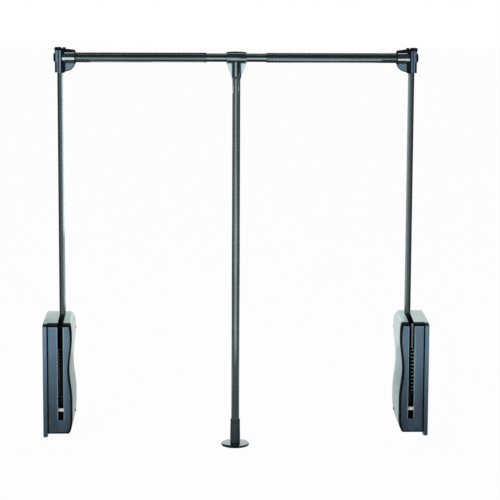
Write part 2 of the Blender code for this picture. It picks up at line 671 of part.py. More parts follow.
def make_rail_bracket(name, side, paint):
    """Corner casting: a grooved column over the arm, and a finned and webbed cup for the rail."""
    inner = side * (ARM_X - COLUMN_TO_RAIL)
    outer = side * (ARM_X + COLUMN_TO_WALL)
    mouth = side * (ARM_X - CUP_REACH)
    rail_end = side * (ARM_X - RAIL_SEAT)
    low_x, high_x = sorted((inner, outer))
    half_depth = COLUMN_DEPTH / 2
    axis_centre = (0, ARM_Y, RAIL_HEIGHT)
    outline = rounded_box((low_x, ARM_Y - half_depth), (high_x, ARM_Y + half_depth), COLUMN_ROUND)
    bracket = prism(name + "rail_bracket", outline, "Z", RAIL_HEIGHT - COLUMN_FOOT, RAIL_HEIGHT + COLUMN_TOP,
                    paint["slate"])
    low, high = sorted((mouth, inner + side * COLUMN_TO_RAIL / 2))
    join(bracket, rod(name + "cup_tool", CUP_RADIUS, low, high, "X", axis_centre, ROUND_SIDES))
    low, high = sorted((outer - side * COLUMN_TO_WALL / 2, outer + side * BOSS_LENGTH))
    join(bracket, rod(name + "boss_tool", BOSS_RADIUS, low, high, "X", axis_centre, ROUND_SIDES))
    root = inner + side * COLUMN_TO_RAIL / 4
    tip = mouth + side * BRACKET_WEB_SHY
    fin_root = side * (ARM_X - GROOVE_START - SEAT_GAP)
    fin = [(fin_root, RAIL_HEIGHT + RAIL_RADIUS), (tip, RAIL_HEIGHT + RAIL_RADIUS),
           (tip, RAIL_HEIGHT + FIN_TIP), (fin_root, RAIL_HEIGHT + FIN_ROOT)]
    join(bracket, prism(name + "fin_tool", fin, "Y", ARM_Y - FIN_THICK / 2, ARM_Y + FIN_THICK / 2))
    web_top = RAIL_HEIGHT - RAIL_RADIUS
    web_curve = arc((inner, web_top), (tip - inner, RAIL_RADIUS - BRACKET_WEB_DROP), 0, 90, 2 * ARC_STEPS)
    web = web_curve + [(root, web_top + RAIL_RADIUS - BRACKET_WEB_DROP), (root, web_top)]
    join(bracket, prism(name + "web_tool", web, "Y", ARM_Y - BRACKET_WEB_THICK / 2, ARM_Y + BRACKET_WEB_THICK / 2))
    groove_low, groove_high = sorted((side * (ARM_X - GROOVE_START), side * (ARM_X - GROOVE_START - GROOVE_WIDTH)))
    for label, face in (("front", ARM_Y - half_depth), ("rear", ARM_Y + half_depth)):
        cut(bracket, block(f"{name}{label}_groove_tool",
                           (groove_low, face - GROOVE_DEPTH, RAIL_HEIGHT - COLUMN_FOOT - CUT_OVER),
                           (groove_high, face + GROOVE_DEPTH, RAIL_HEIGHT + COLUMN_TOP + CUT_OVER)))
    low, high = sorted((mouth - side * CUT_OVER, rail_end + side * SEAT_GAP))
    cut(bracket, rod(name + "rail_bore_tool", RAIL_RADIUS + SEAT_GAP, low, high, "X", axis_centre, ROUND_SIDES))
    socket_top = RAIL_HEIGHT - RAIL_RADIUS - SOCKET_FLOOR
    cut(bracket, rod(name + "socket_tool", ARM_TUBE_RADIUS + SEAT_GAP, RAIL_HEIGHT - COLUMN_FOOT - CUT_OVER,
                     socket_top, "Z", (side * ARM_X, ARM_Y, 0), ROUND_SIDES))
    screw_x = side * (ARM_X - BRACKET_SCREW_REACH)
    cut(bracket, rod(name + "bracket_screw_hole_tool", SCREW_RADIUS + SEAT_GAP, RAIL_HEIGHT,
                     RAIL_HEIGHT + CAP_TOP, "Z", (screw_x, ARM_Y, 0), SCREW_SIDES))
    use_manifold_solver(bracket)
    return bracket


def make_bracket_fittings(name, side, paint):
    """The cap on the bracket's column and the set screw on its cup."""
    low_x, high_x = sorted((side * (ARM_X - GROOVE_START), side * (ARM_X + COLUMN_TO_WALL + CAP_LIP)))
    half = COLUMN_DEPTH / 2 + CAP_LIP
    outline = rounded_box((low_x, ARM_Y - half), (high_x, ARM_Y + half), COLUMN_ROUND)
    cap_foot = RAIL_HEIGHT + COLUMN_TOP + SEAT_GAP
    cap = prism(name + "bracket_cap", outline, "Z", cap_foot, RAIL_HEIGHT + CAP_TOP, paint["dark"])
    slope = (FIN_ROOT - FIN_TIP) / (CUP_REACH - BRACKET_WEB_SHY - GROOVE_START - SEAT_GAP)
    head_edge = BRACKET_SCREW_REACH - SCREW_HEAD_RADIUS - GROOVE_START - SEAT_GAP
    seat_z = RAIL_HEIGHT + FIN_ROOT - slope * head_edge + SEAT_GAP
    length = seat_z - RAIL_HEIGHT - RAIL_RADIUS - SEAT_GAP
    set_screw = screw(name + "bracket_screw", "Z", (side * (ARM_X - BRACKET_SCREW_REACH), ARM_Y, seat_z), 1, length,
                      paint["dark"])
    return {"bracket_cap": cap, "bracket_screw": set_screw}


def make_rail_tube(name, side, paint):
    low, high = sorted((side * RAIL_MOUTH_X, side * (ARM_X - RAIL_SEAT)))
    return pipe(name + "rail_tube", RAIL_RADIUS, RAIL_WALL, low, high, "X", (0, ARM_Y, RAIL_HEIGHT), ROUND_SIDES,
                paint["gunmetal"])


def make_centre_rail(paint):
    half = RAIL_MOUTH_X + RAIL_OVERLAP
    return pipe("centre_rail", INNER_RADIUS, RAIL_WALL, -half, half, "X", (0, ARM_Y, RAIL_HEIGHT), ROUND_SIDES,
                paint["gunmetal"])


def make_tee(paint):
    """Crowned barrel on the rail, with a webbed sleeve for the pole."""
    axis_centre = (0, ARM_Y, RAIL_HEIGHT)
    half = TEE_LENGTH / 2
    profile = [(0, -half)]
    crown_steps = 6
    for step in range(crown_steps + 1):
        along = -half + TEE_LENGTH * step / crown_steps
        profile.append((TEE_END_RADIUS + TEE_CROWN * (1 - (along / half) ** 2), along))
    profile.append((0, half))
    tee = turned("tee", profile, "X", axis_centre, ROUND_SIDES, paint["slate"])
    foot = RAIL_HEIGHT - SLEEVE_DROP
    sleeve = [(0, RAIL_HEIGHT), (SLEEVE_RADIUS, RAIL_HEIGHT), (SLEEVE_RADIUS, foot + 2 * SLEEVE_CHAMFER),
              (SLEEVE_RADIUS - SLEEVE_WALL / 2, foot), (0, foot)]
    join(tee, turned("tee_sleeve_tool", sleeve, "Z", (0, ARM_Y, 0), ROUND_SIDES))
    web = [(half, RAIL_HEIGHT - INNER_RADIUS), (half, RAIL_HEIGHT - TEE_END_RADIUS),
           (SLEEVE_RADIUS + TEE_WEB_TOE, RAIL_HEIGHT - TEE_WEB_DROP), (0, RAIL_HEIGHT - TEE_WEB_DROP),
           (0, RAIL_HEIGHT - INNER_RADIUS)]
    mirrored = [(-x, z) for x, z in web]
    for label, outline in (("right", web), ("left", mirrored)):
        join(tee, prism(f"tee_{label}_web_tool", outline, "Y", ARM_Y - TEE_WEB_THICK / 2, ARM_Y + TEE_WEB_THICK / 2))
    pole_top = RAIL_HEIGHT - INNER_RADIUS - POLE_HEADROOM
    cut(tee, rod("tee_bore_tool", INNER_RADIUS + RUN_GAP, -half - CUT_OVER, half + CUT_OVER, "X", axis_centre,
                 ROUND_SIDES))
    cut(tee, rod("sleeve_bore_tool", POLE_RADIUS + SEAT_GAP, foot - CUT_OVER, pole_top, "Z", (0, ARM_Y, 0),
                 ROUND_SIDES))
    cut(tee, rod("tee_screw_hole_tool", SCREW_RADIUS + SEAT_GAP, 0, SLEEVE_RADIUS + CUT_OVER, "Y",
                 (0, ARM_Y, RAIL_HEIGHT - TEE_SCREW_DROP), SCREW_SIDES))
    use_manifold_solver(tee)
    return tee


def make_handle(paint):
    """Tee, pole, collar, grip and disc, with their two screws."""
    made = {"tee": make_tee(paint)}
    seat_y = ARM_Y + SLEEVE_RADIUS + SEAT_GAP
    made["tee_screw"] = screw("tee_screw", "Y", (0, seat_y, RAIL_HEIGHT - TEE_SCREW_DROP), 1,
                              SLEEVE_RADIUS - POLE_RADIUS, paint["dark"])
    pole_foot = DISC_TOP + SEAT_GAP + GRIP_FLOOR + SEAT_GAP
    pole_top = RAIL_HEIGHT - INNER_RADIUS - POLE_HEADROOM - SEAT_GAP
    centre = (0, ARM_Y, 0)
    made["handle_pole"] = pipe("handle_pole", POLE_RADIUS, POLE_WALL, pole_foot, pole_top, "Z", centre, ROUND_SIDES,
                               paint["gunmetal"])
    grip_low = DISC_TOP + SEAT_GAP
    grip_high = grip_low + GRIP_HEIGHT
    bore = POLE_RADIUS + SEAT_GAP
    screw_bore = SCREW_RADIUS + SEAT_GAP
    grip = [(screw_bore, grip_low), (GRIP_RADIUS + GRIP_FLARE, grip_low), (GRIP_RADIUS, grip_high), (bore, grip_high),
            (bore, grip_low + GRIP_FLOOR), (screw_bore, grip_low + GRIP_FLOOR)]
    made["handle_grip"] = turned("handle_grip", grip, "Z", centre, ROUND_SIDES, paint["dark"])
    collar_low = grip_high + SEAT_GAP
    collar_high = collar_low + COLLAR_HEIGHT
    collar = [(bore, collar_low), (GRIP_RADIUS, collar_low), (GRIP_RADIUS, collar_high - COLLAR_ROUND),
              (GRIP_RADIUS - COLLAR_ROUND, collar_high), (bore, collar_high)]
    made["handle_collar"] = turned("handle_collar", collar, "Z", centre, ROUND_SIDES, paint["dark"])
    head_pocket = SCREW_HEAD_RADIUS + SEAT_GAP
    pocket_roof = SCREW_HEAD_HEIGHT + 2 * SEAT_GAP
    disc = [(head_pocket, 0), (DISC_RADIUS - DISC_RIM_ROUND, 0), (DISC_RADIUS, DISC_RIM_ROUND), (DISC_RADIUS, DISC_RIM),
            (DISC_RADIUS - DISC_RIM_ROUND, DISC_RIM + DISC_RIM_ROUND / 2), (GRIP_RADIUS + 2 * GRIP_FLARE, DISC_TOP),
            (screw_bore, DISC_TOP), (screw_bore, pocket_roof), (head_pocket, pocket_roof)]
    made["handle_disc"] = turned("handle_disc", disc, "Z", centre, 2 * ROUND_SIDES, paint["shell"])
    made["disc_screw"] = screw("disc_screw", "Z", (0, ARM_Y, pocket_roof - SEAT_GAP), -1, DISC_SCREW_LENGTH,
                               paint["bright"])
    return made


def hang_on(name, place, pieces):
    """Parent pieces to an empty on their joint's axis, with each mesh measured from there."""
    pivot = bpy.data.objects.new(name, None)
    pivot.empty_display_size = 0.02
    pivot.location = place
    bpy.context.scene.collection.objects.link(pivot)
    for piece in pieces:
        piece.data.transform(Matrix.Translation(-Vector(place)))
        piece.parent = pivot


def make_side(label, side, paint):
    """One housing with its arm, bracket and outer rail tube."""
    name = label + "_"
    make_mounting_plate(name, side, paint)
    make_housing_shell(name, side, paint)
    make_front_bezel(name, side, paint)
    make_cover_screws(name, side, paint)
    pivots = make_pivot_pieces(name, side, paint)
    unit = make_spring_unit(name, side, paint)
    fittings = make_bracket_fittings(name, side, paint)
    arm = [make_lever(name, side, paint), pivots["lever_bush"], pivots["crank_pin"], make_arm_tube(name, side, paint),
           make_rail_bracket(name, side, paint), fittings["bracket_cap"], fittings["bracket_screw"],
           make_rail_tube(name, side, paint)]
    hang_on(name + "arm_pivot", (side * ARM_X, PIVOT_Y, PIVOT_Z), arm)
    layout = spring_unit_layout()
    plunger_place = (side * (ARM_X + UNIT_OFFSET), layout["y"], layout["yoke_top"])
    hang_on(name + "plunger_axis", plunger_place, [unit["yoke"], unit["plunger_rod"]])


def report_layout():
    """Print the axes and travels that the moving pieces share."""
    unit = spring_unit_layout()
    layout = lever_layout()
    stop_y, stop_z = stop_pin_place(layout)
    print(f"arm pivots: x +-{ARM_X:.4f}, y {PIVOT_Y:.4f}, z {PIVOT_Z:.4f}")
    print(f"rail axis: y {ARM_Y:.4f}, z {RAIL_HEIGHT:.4f}")
    print(f"plunger: travel {unit['travel']:.5f}, per radian {unit['travel'] / ARM_LIMIT:.5f}")
    print(f"spring: from {unit['yoke_top']:.4f} to {unit['damper_foot']:.4f}, damper top {unit['damper_top']:.4f}")
    print(f"arm tube starts at z {PIVOT_Z + layout['tube_start']:.4f}, stop pin at y {stop_y:.4f}, z {stop_z:.4f}")


def main():
    clear_scene()
    paint = {"slate": finish("slate_paint", (0.085, 0.138, 0.184), 0.38, 0.35),
             "shell": finish("pale_shell", (0.48, 0.58, 0.59), 0.42, 0.0),
             "gunmetal": finish("gunmetal_tube", (0.10, 0.13, 0.135), 0.28, 0.9),
             "dark": finish("dark_plastic", (0.018, 0.024, 0.027), 0.4, 0.0),
             "steel": finish("lever_steel", (0.06, 0.065, 0.07), 0.42, 0.8),
             "bright": finish("bright_steel", (0.72, 0.74, 0.75), 0.25, 1.0),
             "bush": finish("bush_plastic", (0.70, 0.69, 0.64), 0.5, 0.0),
             "rubber": finish("buffer_rubber", (0.02, 0.02, 0.02), 0.8, 0.0)}
    for label, side in SIDES.items():
        make_side(label, side, paint)
    rail_place = (0, ARM_Y, RAIL_HEIGHT)
    hang_on("rail_axis", rail_place, [make_centre_rail(paint)])
    hang_on("handle_pivot", rail_place, make_handle(paint).values())
    report_layout()


main()
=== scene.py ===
# %% [markdown]
# # Dressing a pull-down wardrobe rail
# Two sprung housings stand on a wardrobe's side walls. An arm rises from each, the arms carry a telescopic
# rail, and a pole hangs from the rail's middle to pull it down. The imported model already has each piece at
# its real size and place, as plain facets. This script models again, with finer and softer forms, what
# shows of it, and gives every surface its finish. Loading the frame comes first, because all sizes below
# are read from it.

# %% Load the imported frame
import math

import bmesh
import bpy
from mathutils import Matrix, Vector


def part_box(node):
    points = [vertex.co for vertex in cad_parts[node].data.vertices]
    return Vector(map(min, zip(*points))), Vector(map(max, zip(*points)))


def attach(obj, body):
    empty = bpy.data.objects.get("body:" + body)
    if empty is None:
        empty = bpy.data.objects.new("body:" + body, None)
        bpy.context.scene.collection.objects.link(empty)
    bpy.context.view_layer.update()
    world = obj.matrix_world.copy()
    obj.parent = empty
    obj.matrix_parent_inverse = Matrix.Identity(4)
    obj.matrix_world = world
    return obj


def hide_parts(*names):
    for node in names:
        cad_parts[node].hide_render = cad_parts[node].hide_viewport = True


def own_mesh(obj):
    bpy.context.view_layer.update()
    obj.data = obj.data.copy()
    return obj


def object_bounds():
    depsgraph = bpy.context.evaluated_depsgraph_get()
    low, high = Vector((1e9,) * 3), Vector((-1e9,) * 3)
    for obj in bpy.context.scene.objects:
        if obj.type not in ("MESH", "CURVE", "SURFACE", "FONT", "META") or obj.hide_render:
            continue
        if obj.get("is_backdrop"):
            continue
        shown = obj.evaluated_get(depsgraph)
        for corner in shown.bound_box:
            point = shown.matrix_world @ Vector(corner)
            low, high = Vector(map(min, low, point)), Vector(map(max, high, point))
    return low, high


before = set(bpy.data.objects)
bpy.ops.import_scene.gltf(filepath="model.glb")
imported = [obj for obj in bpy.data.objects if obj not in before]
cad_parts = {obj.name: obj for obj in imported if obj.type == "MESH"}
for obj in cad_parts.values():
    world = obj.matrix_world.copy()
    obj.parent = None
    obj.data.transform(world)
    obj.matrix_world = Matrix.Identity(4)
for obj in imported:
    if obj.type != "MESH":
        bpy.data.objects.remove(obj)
cad_low, cad_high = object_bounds()
scene = bpy.context.scene
print("frame:", len(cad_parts), "nodes, box in mm", [round(1000 * edge) for edge in cad_high - cad_low])

# %% [markdown]
# The picture was taken from a little above and almost straight in front, with a long lens, so the housings
# show a narrow strip of their inner sides. A camera can be dragged into place by eye, or worked out from
# points whose real places are known. The second way was used here: these values put the corners of the
# housings, the tube ends and the disc where the picture has them. Part of the look down is a lens shift,
# which keeps uprights upright.

# %% Set the camera
CAMERA_PLACE = (-0.111, -4.0, 1.15)
CAMERA_TURN_DEG = (82.21, -0.26, -1.99)
CAMERA_LENS = 130.6
CAMERA_SHIFT = -0.13

scene.view_settings.view_transform = "Standard"
camera = bpy.data.objects.new("camera", bpy.data.cameras.new("camera"))
camera.data.lens = CAMERA_LENS
camera.data.shift_y = CAMERA_SHIFT
camera.location = CAMERA_PLACE
camera.rotation_euler = [math.radians(angle) for angle in CAMERA_TURN_DEG]
scene.collection.objects.link(camera)
scene.camera = camera
print("camera:", CAMERA_LENS, "mm lens at", CAMERA_PLACE)

# %% [markdown]
# The studio and the finishes are made of shader nodes. They could be laid out by hand in the node editor,
# but a script can be read and run again, so small helpers add a node, set what stays constant on it and
# chain steps of arithmetic. One more helper stands up a flat sheet, for the floor and for the cards that
# the tubes mirror.

# %% Define the helpers for nodes and sheets
AXIS_TURNS = {"X": Matrix.Rotation(math.pi / 2, 3, "Y"), "Y": Matrix.Rotation(-math.pi / 2, 3, "X"),
              "Z": Matrix.Identity(3)}


def set_inputs(node, **constants):
    """Set the inputs of a node that stay constant. A space in an input's name is written as _."""
    for label, value in constants.items():
        node.inputs[label.replace("_", " ")].default_value = value
    return node


def add_node(tree, kind, operation=None, **constants):
    """Add a node, choose its operation if it has one, and set its constant inputs."""
    node = tree.nodes.new(kind)
    if operation:
        node.operation = operation
    return set_inputs(node, **constants)


def calculate(tree, operation, first, second):
    """One step of arithmetic on a socket and another socket or a number."""
    step = add_node(tree, "ShaderNodeMath", operation)
    tree.links.new(first, step.inputs[0])
    if isinstance(second, float):
        step.inputs[1].default_value = second
    else:
        tree.links.new(second, step.inputs[1])
    return step.outputs[0]


def clear_nodes(owner):
    """An empty node tree for a world or a material."""
    owner.use_nodes = True
    owner.node_tree.nodes.clear()
    return owner.node_tree


def stand_sheet(name, facing, centre, size, paint):
    """Put a flat sheet on the stage that faces along an axis."""
    shape = bmesh.new()
    bmesh.ops.create_grid(shape, x_segments=1, y_segments=1, size=0.5)
    bmesh.ops.scale(shape, verts=shape.verts, vec=(size[0], size[1], 1.0))
    bmesh.ops.rotate(shape, verts=shape.verts, cent=(0, 0, 0), matrix=AXIS_TURNS[facing])
    bmesh.ops.translate(shape, verts=shape.verts, vec=centre)
    mesh = bpy.data.meshes.new(name)
    shape.to_mesh(mesh)
    shape.free()
    mesh.materials.append(paint)
    sheet = bpy.data.objects.new(name, mesh)
    scene.collection.objects.link(sheet)
    sheet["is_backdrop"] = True
    return sheet


print("helpers ready, sheets can face along", ", ".join(AXIS_TURNS))

# %% [markdown]
# The object stands on plain white. A white background could be made by flooding everything with light, but
# then the dark paint would wash out. Instead the world and the floor show white to the camera, and to rays
# that bounce off metal, while every other ray meets a modest fill light. The floor keeps a share of its own
# shading, so the object's soft shadow stays on it.

# %% Make the white surroundings
FILL_STRENGTH = 0.5
FILL_COLOUR = (0.95, 0.98, 1.0, 1.0)
WHITE = (1.0, 1.0, 1.0, 1.0)
FLOOR_COLOUR = (0.9, 0.9, 0.9, 1.0)
FLOOR_SIZE = 30.0
FLOOR_DROP = 0.0004
FLOOR_WHITE_SHARE = 0.96


def show_white(tree, plain, white, share):
    """Mix in a white that the camera and metal see, while other rays meet the plain shader."""
    path = add_node(tree, "ShaderNodeLightPath")
    mask = path.outputs["Is Camera Ray"]
    for ray in ("Is Glossy Ray", "Is Transmission Ray"):
        mask = calculate(tree, "MAXIMUM", mask, path.outputs[ray])
    mix = add_node(tree, "ShaderNodeMixShader")
    sources = (calculate(tree, "MULTIPLY", mask, share), plain.outputs[0], white.outputs[0])
    for source, socket in zip(sources, mix.inputs):
        tree.links.new(source, socket)
    return mix.outputs[0]


scene.world = bpy.data.worlds.new("white_studio")
tree = clear_nodes(scene.world)
fill = add_node(tree, "ShaderNodeBackground", Color=FILL_COLOUR, Strength=FILL_STRENGTH)
white = add_node(tree, "ShaderNodeBackground", Color=WHITE)
output = add_node(tree, "ShaderNodeOutputWorld")
tree.links.new(show_white(tree, fill, white, 1.0), output.inputs["Surface"])

floor_paint = bpy.data.materials.new("white_floor")
tree = clear_nodes(floor_paint)
plain = add_node(tree, "ShaderNodeBsdfDiffuse", Color=FLOOR_COLOUR)
white = add_node(tree, "ShaderNodeEmission")
output = add_node(tree, "ShaderNodeOutputMaterial")
tree.links.new(show_white(tree, plain, white, FLOOR_WHITE_SHARE), output.inputs["Surface"])
stand_sheet("floor", "Z", (0, 0, cad_low.z - FLOOR_DROP), (FLOOR_SIZE, FLOOR_SIZE), floor_paint)
print("surroundings: fill", FILL_STRENGTH, "and a floor of", FLOOR_SIZE, "m")

# %% [markdown]
# Dark, glossy tubes have hardly any colour of their own: what shows is what they mirror. The picture has a
# pale stripe along the front of each tube and dark edges. A white floor in front and black cards all round
# it give that, and the card on the floor also makes the painted fronts grow darker towards their feet. Grey
# cards on the floor behind light the covers' room sides. Each arm has one paler side and each rail a pale
# band underneath: bright strips next to them do that, with black backs and lids that keep the strips off
# the other pieces. All cards are mirrored and nothing else: the camera doesn't see them, and they shade
# nothing. The soft light is left out of the mirroring.

# %% Set the soft light and the cards
SOFTBOX_PLACE = (-1.3, -4.4, 1.5)
SOFTBOX_AIM = (0, 0, 0.6)
SOFTBOX_SIZE = (2.6, 1.6)
SOFTBOX_POWER = 105.0
BLACK, GREY = 0.012, 0.5
# Each card: the axis it faces along, its centre, its size and its brightness.
CARDS = {
    "left_card": ("X", (-2.0, 0.25, 1.5), (3.4, 5.7), BLACK),
    "right_card": ("X", (2.0, -0.55, 1.5), (3.4, 7.3), BLACK),
    "front_card": ("Y", (0.0, -5.0, 2.6), (12.0, 3.2), BLACK),
    "front_top_card": ("Z", (0.0, -2.6, 3.0), (5.0, 4.8), BLACK),
    "rear_top_card": ("Z", (0.0, 1.5, 3.0), (5.0, 2.6), BLACK),
    "front_low_card": ("Y", (2.01, -4.6, 0.5), (3.18, 1.0), BLACK),
    "floor_card": ("Z", (0.0, -0.375, 0.001), (1.5, 0.95), BLACK),
    "left_floor_card": ("Z", (-1.45, 0.4, 0.001), (1.4, 4.2), BLACK),
    "right_floor_card": ("Z", (1.45, 0.4, 0.001), (1.4, 4.2), BLACK),
    "rear_floor_middle": ("Z", (0.0, 0.5, 0.001), (0.36, 0.8), BLACK),
    "rear_floor_left": ("Z", (-0.465, 0.5, 0.001), (0.57, 0.8), GREY),
    "rear_floor_right": ("Z", (0.465, 0.5, 0.001), (0.57, 0.8), GREY),
    "rear_card": ("Y", (-2.9, 3.0, 2.25), (6.2, 1.6), BLACK),
    "left_strip": ("X", (-0.33, 0.06, 0.664), (0.368, 0.17), 7.0),
    "left_low_strip": ("X", (-0.33, 0.06, 0.395), (0.17, 0.17), 3.0),
    "left_strip_back": ("X", (-0.329, 0.06, 0.58), (0.54, 0.17), BLACK),
    "left_strip_lid": ("Z", (-0.355, 0.065, 0.849), (0.054, 0.18), BLACK),
    "right_strip": ("X", (0.33, 0.06, 0.579), (0.538, 0.17), 2.2),
    "right_strip_back": ("X", (0.329, 0.06, 0.58), (0.54, 0.17), BLACK),
    "right_strip_lid": ("Z", (0.355, 0.065, 0.849), (0.054, 0.18), BLACK),
    "right_rail_strip": ("Z", (0.21, -0.052, 0.8), (0.27, 0.046), 2.0),
    "left_rail_strip": ("Z", (-0.13, 0.085, 0.8), (0.12, 0.08), 2.8),
    "left_rail_end_strip": ("Z", (-0.26, 0.085, 0.8), (0.14, 0.08), 1.4),
}

softbox = bpy.data.objects.new("softbox", bpy.data.lights.new("softbox", "AREA"))
softbox.data.shape = "RECTANGLE"
softbox.data.size, softbox.data.size_y = SOFTBOX_SIZE
softbox.data.energy = SOFTBOX_POWER
softbox.location = SOFTBOX_PLACE
softbox.rotation_euler = (Vector(SOFTBOX_AIM) - Vector(SOFTBOX_PLACE)).to_track_quat("-Z", "Y").to_euler()
softbox.visible_camera = False
softbox.visible_glossy = False
scene.collection.objects.link(softbox)

for name, (facing, centre, size, brightness) in CARDS.items():
    paint = bpy.data.materials.new(name)
    tree = clear_nodes(paint)
    even = add_node(tree, "ShaderNodeEmission", Color=(brightness, brightness, brightness, 1.0))
    output = add_node(tree, "ShaderNodeOutputMaterial")
    tree.links.new(even.outputs[0], output.inputs["Surface"])
    card = stand_sheet(name, facing, centre, size, paint)
    card.visible_camera = False
    card.visible_diffuse = False
    card.visible_transmission = False
    card.visible_shadow = False
print("light: one softbox of", SOFTBOX_SIZE, "m and", len(CARDS), "cards")

# %% [markdown]
# All finishes here share two effects: a fine grain, which is the texture of moulded plastic, of paint or of
# a drawn tube, and a slight lightening where edges are touched most. Each effect could be repeated in every
# material. As a node group it is built once, and each material sets only the grain's size and stretch: a
# grain that is stretched far along a tube turns into the long lines that drawing leaves on it.

# %% Build the shared grain and edge groups
CLOUD_SCALE = 14.0
CLOUD_START, CLOUD_END = 0.35, 0.65
EDGE_START, EDGE_END = 0.505, 0.56


def new_group(name, inputs, outputs):
    """An empty shader group with named sockets."""
    group = bpy.data.node_groups.new(name, "ShaderNodeTree")
    for label, kind in inputs.items():
        group.interface.new_socket(label, in_out="INPUT", socket_type=kind)
    for label in outputs:
        group.interface.new_socket(label, in_out="OUTPUT", socket_type="NodeSocketFloat")
    return group, group.nodes.new("NodeGroupInput").outputs, group.nodes.new("NodeGroupOutput").inputs


def spread_value(tree, source, low, high, to_low=0.0, to_high=1.0):
    """Stretch a value from one span to another, clamped."""
    span = add_node(tree, "ShaderNodeMapRange", From_Min=low, From_Max=high, To_Min=to_low, To_Max=to_high)
    tree.links.new(source, span.inputs["Value"])
    return span.outputs["Result"]


grain_group, given, result = new_group(
    "fine_grain", {"Scale": "NodeSocketFloat", "Stretch": "NodeSocketVector"}, ["Height", "Cloud"])
place = add_node(grain_group, "ShaderNodeTexCoord").outputs["Object"]
stretched = add_node(grain_group, "ShaderNodeVectorMath", "MULTIPLY")
fine_noise = add_node(grain_group, "ShaderNodeTexNoise", Detail=2.0)
cloud_noise = add_node(grain_group, "ShaderNodeTexNoise", Scale=CLOUD_SCALE, Detail=4.0)
cloud = spread_value(grain_group, cloud_noise.outputs["Fac"], CLOUD_START, CLOUD_END)
for source, socket in (
        (place, stretched.inputs[0]), (given["Stretch"], stretched.inputs[1]),
        (stretched.outputs[0], fine_noise.inputs["Vector"]), (given["Scale"], fine_noise.inputs["Scale"]),
        (place, cloud_noise.inputs["Vector"]), (fine_noise.outputs["Fac"], result["Height"]),
        (cloud, result["Cloud"])):
    grain_group.links.new(source, socket)

edge_group, given, result = new_group("touched_edges", {"Amount": "NodeSocketFloat"}, ["Mask"])
pointed = add_node(edge_group, "ShaderNodeNewGeometry").outputs["Pointiness"]
edges_found = spread_value(edge_group, pointed, EDGE_START, EDGE_END)
edge_group.links.new(calculate(edge_group, "MULTIPLY", edges_found, given["Amount"]), result["Mask"])
print("node groups:", grain_group.name, edge_group.name)

# %% [markdown]
# Each finish below is one Principled shader. Its colour drifts a little from place to place, its roughness
# follows the grain, and the grain also lifts the surface by hundredths of a millimetre. Numbers that hold
# all over a surface, such as how metallic it is, are set on the shader itself.

# %% Mix the finishes
GRAIN_START, GRAIN_END = 0.3, 0.7
ROUGHNESS_DRIFT = 0.05
COAT_ROUGHNESS = 0.08
EDGE_GAIN = 2.2
EVEN = (1.0, 1.0, 1.0)
ALONG_X = (0.006, 1.0, 1.0)
ALONG_Z = (1.0, 1.0, 0.006)
SMOOTH = 0.000004
TUBE_GRAIN = 900.0


def mix_colours(tree, first, second, factor):
    """Blend two colours, or a socket and a colour, by a mask."""
    mix = tree.nodes.new("ShaderNodeMix")
    mix.data_type = "RGBA"
    tree.links.new(factor, mix.inputs["Factor"])
    for socket, colour in ((mix.inputs[6], first), (mix.inputs[7], second)):
        if isinstance(colour, bpy.types.NodeSocket):
            tree.links.new(colour, socket)
        else:
            socket.default_value = (*colour, 1.0)
    return mix.outputs[2]


def shaded(colour, gain):
    return tuple(min(1.0, gain * channel) for channel in colour)


def make_finish(name, colour, roughness, metallic=0.0, grain=1400.0, drift=0.1, stretch=EVEN, depth=0.00002,
                edge=0.3, coat=0.0, specular=0.5):
    """A procedural finish with drifting colour, grained roughness and bump, and lighter edges."""
    material = bpy.data.materials.new(name)
    material.use_nodes = True
    tree = material.node_tree
    shader = set_inputs(tree.nodes["Principled BSDF"], Metallic=metallic, Coat_Weight=coat,
                        Coat_Roughness=COAT_ROUGHNESS, Specular_IOR_Level=specular)
    fine = tree.nodes.new("ShaderNodeGroup")
    fine.node_tree = grain_group
    set_inputs(fine, Scale=grain, Stretch=stretch)
    touched = tree.nodes.new("ShaderNodeGroup")
    touched.node_tree = edge_group
    set_inputs(touched, Amount=edge)
    body = mix_colours(tree, shaded(colour, 1 - drift), shaded(colour, 1 + drift), fine.outputs["Cloud"])
    worn = mix_colours(tree, body, shaded(colour, EDGE_GAIN), touched.outputs["Mask"])
    rough = spread_value(tree, fine.outputs["Height"], GRAIN_START, GRAIN_END, roughness - ROUGHNESS_DRIFT,
                         roughness + ROUGHNESS_DRIFT)
    bump = add_node(tree, "ShaderNodeBump", Distance=depth)
    tree.links.new(fine.outputs["Height"], bump.inputs["Height"])
    tree.links.new(worn, shader.inputs["Base Color"])
    tree.links.new(rough, shader.inputs["Roughness"])
    tree.links.new(bump.outputs["Normal"], shader.inputs["Normal"])
    return material


def make_tube(name, gain, roughness, metallic, stretch):
    """A drawn gunmetal tube, with its grain along its length."""
    return make_finish(name, shaded(GUNMETAL, gain), roughness, metallic=metallic, grain=TUBE_GRAIN,
                       stretch=stretch, depth=SMOOTH)


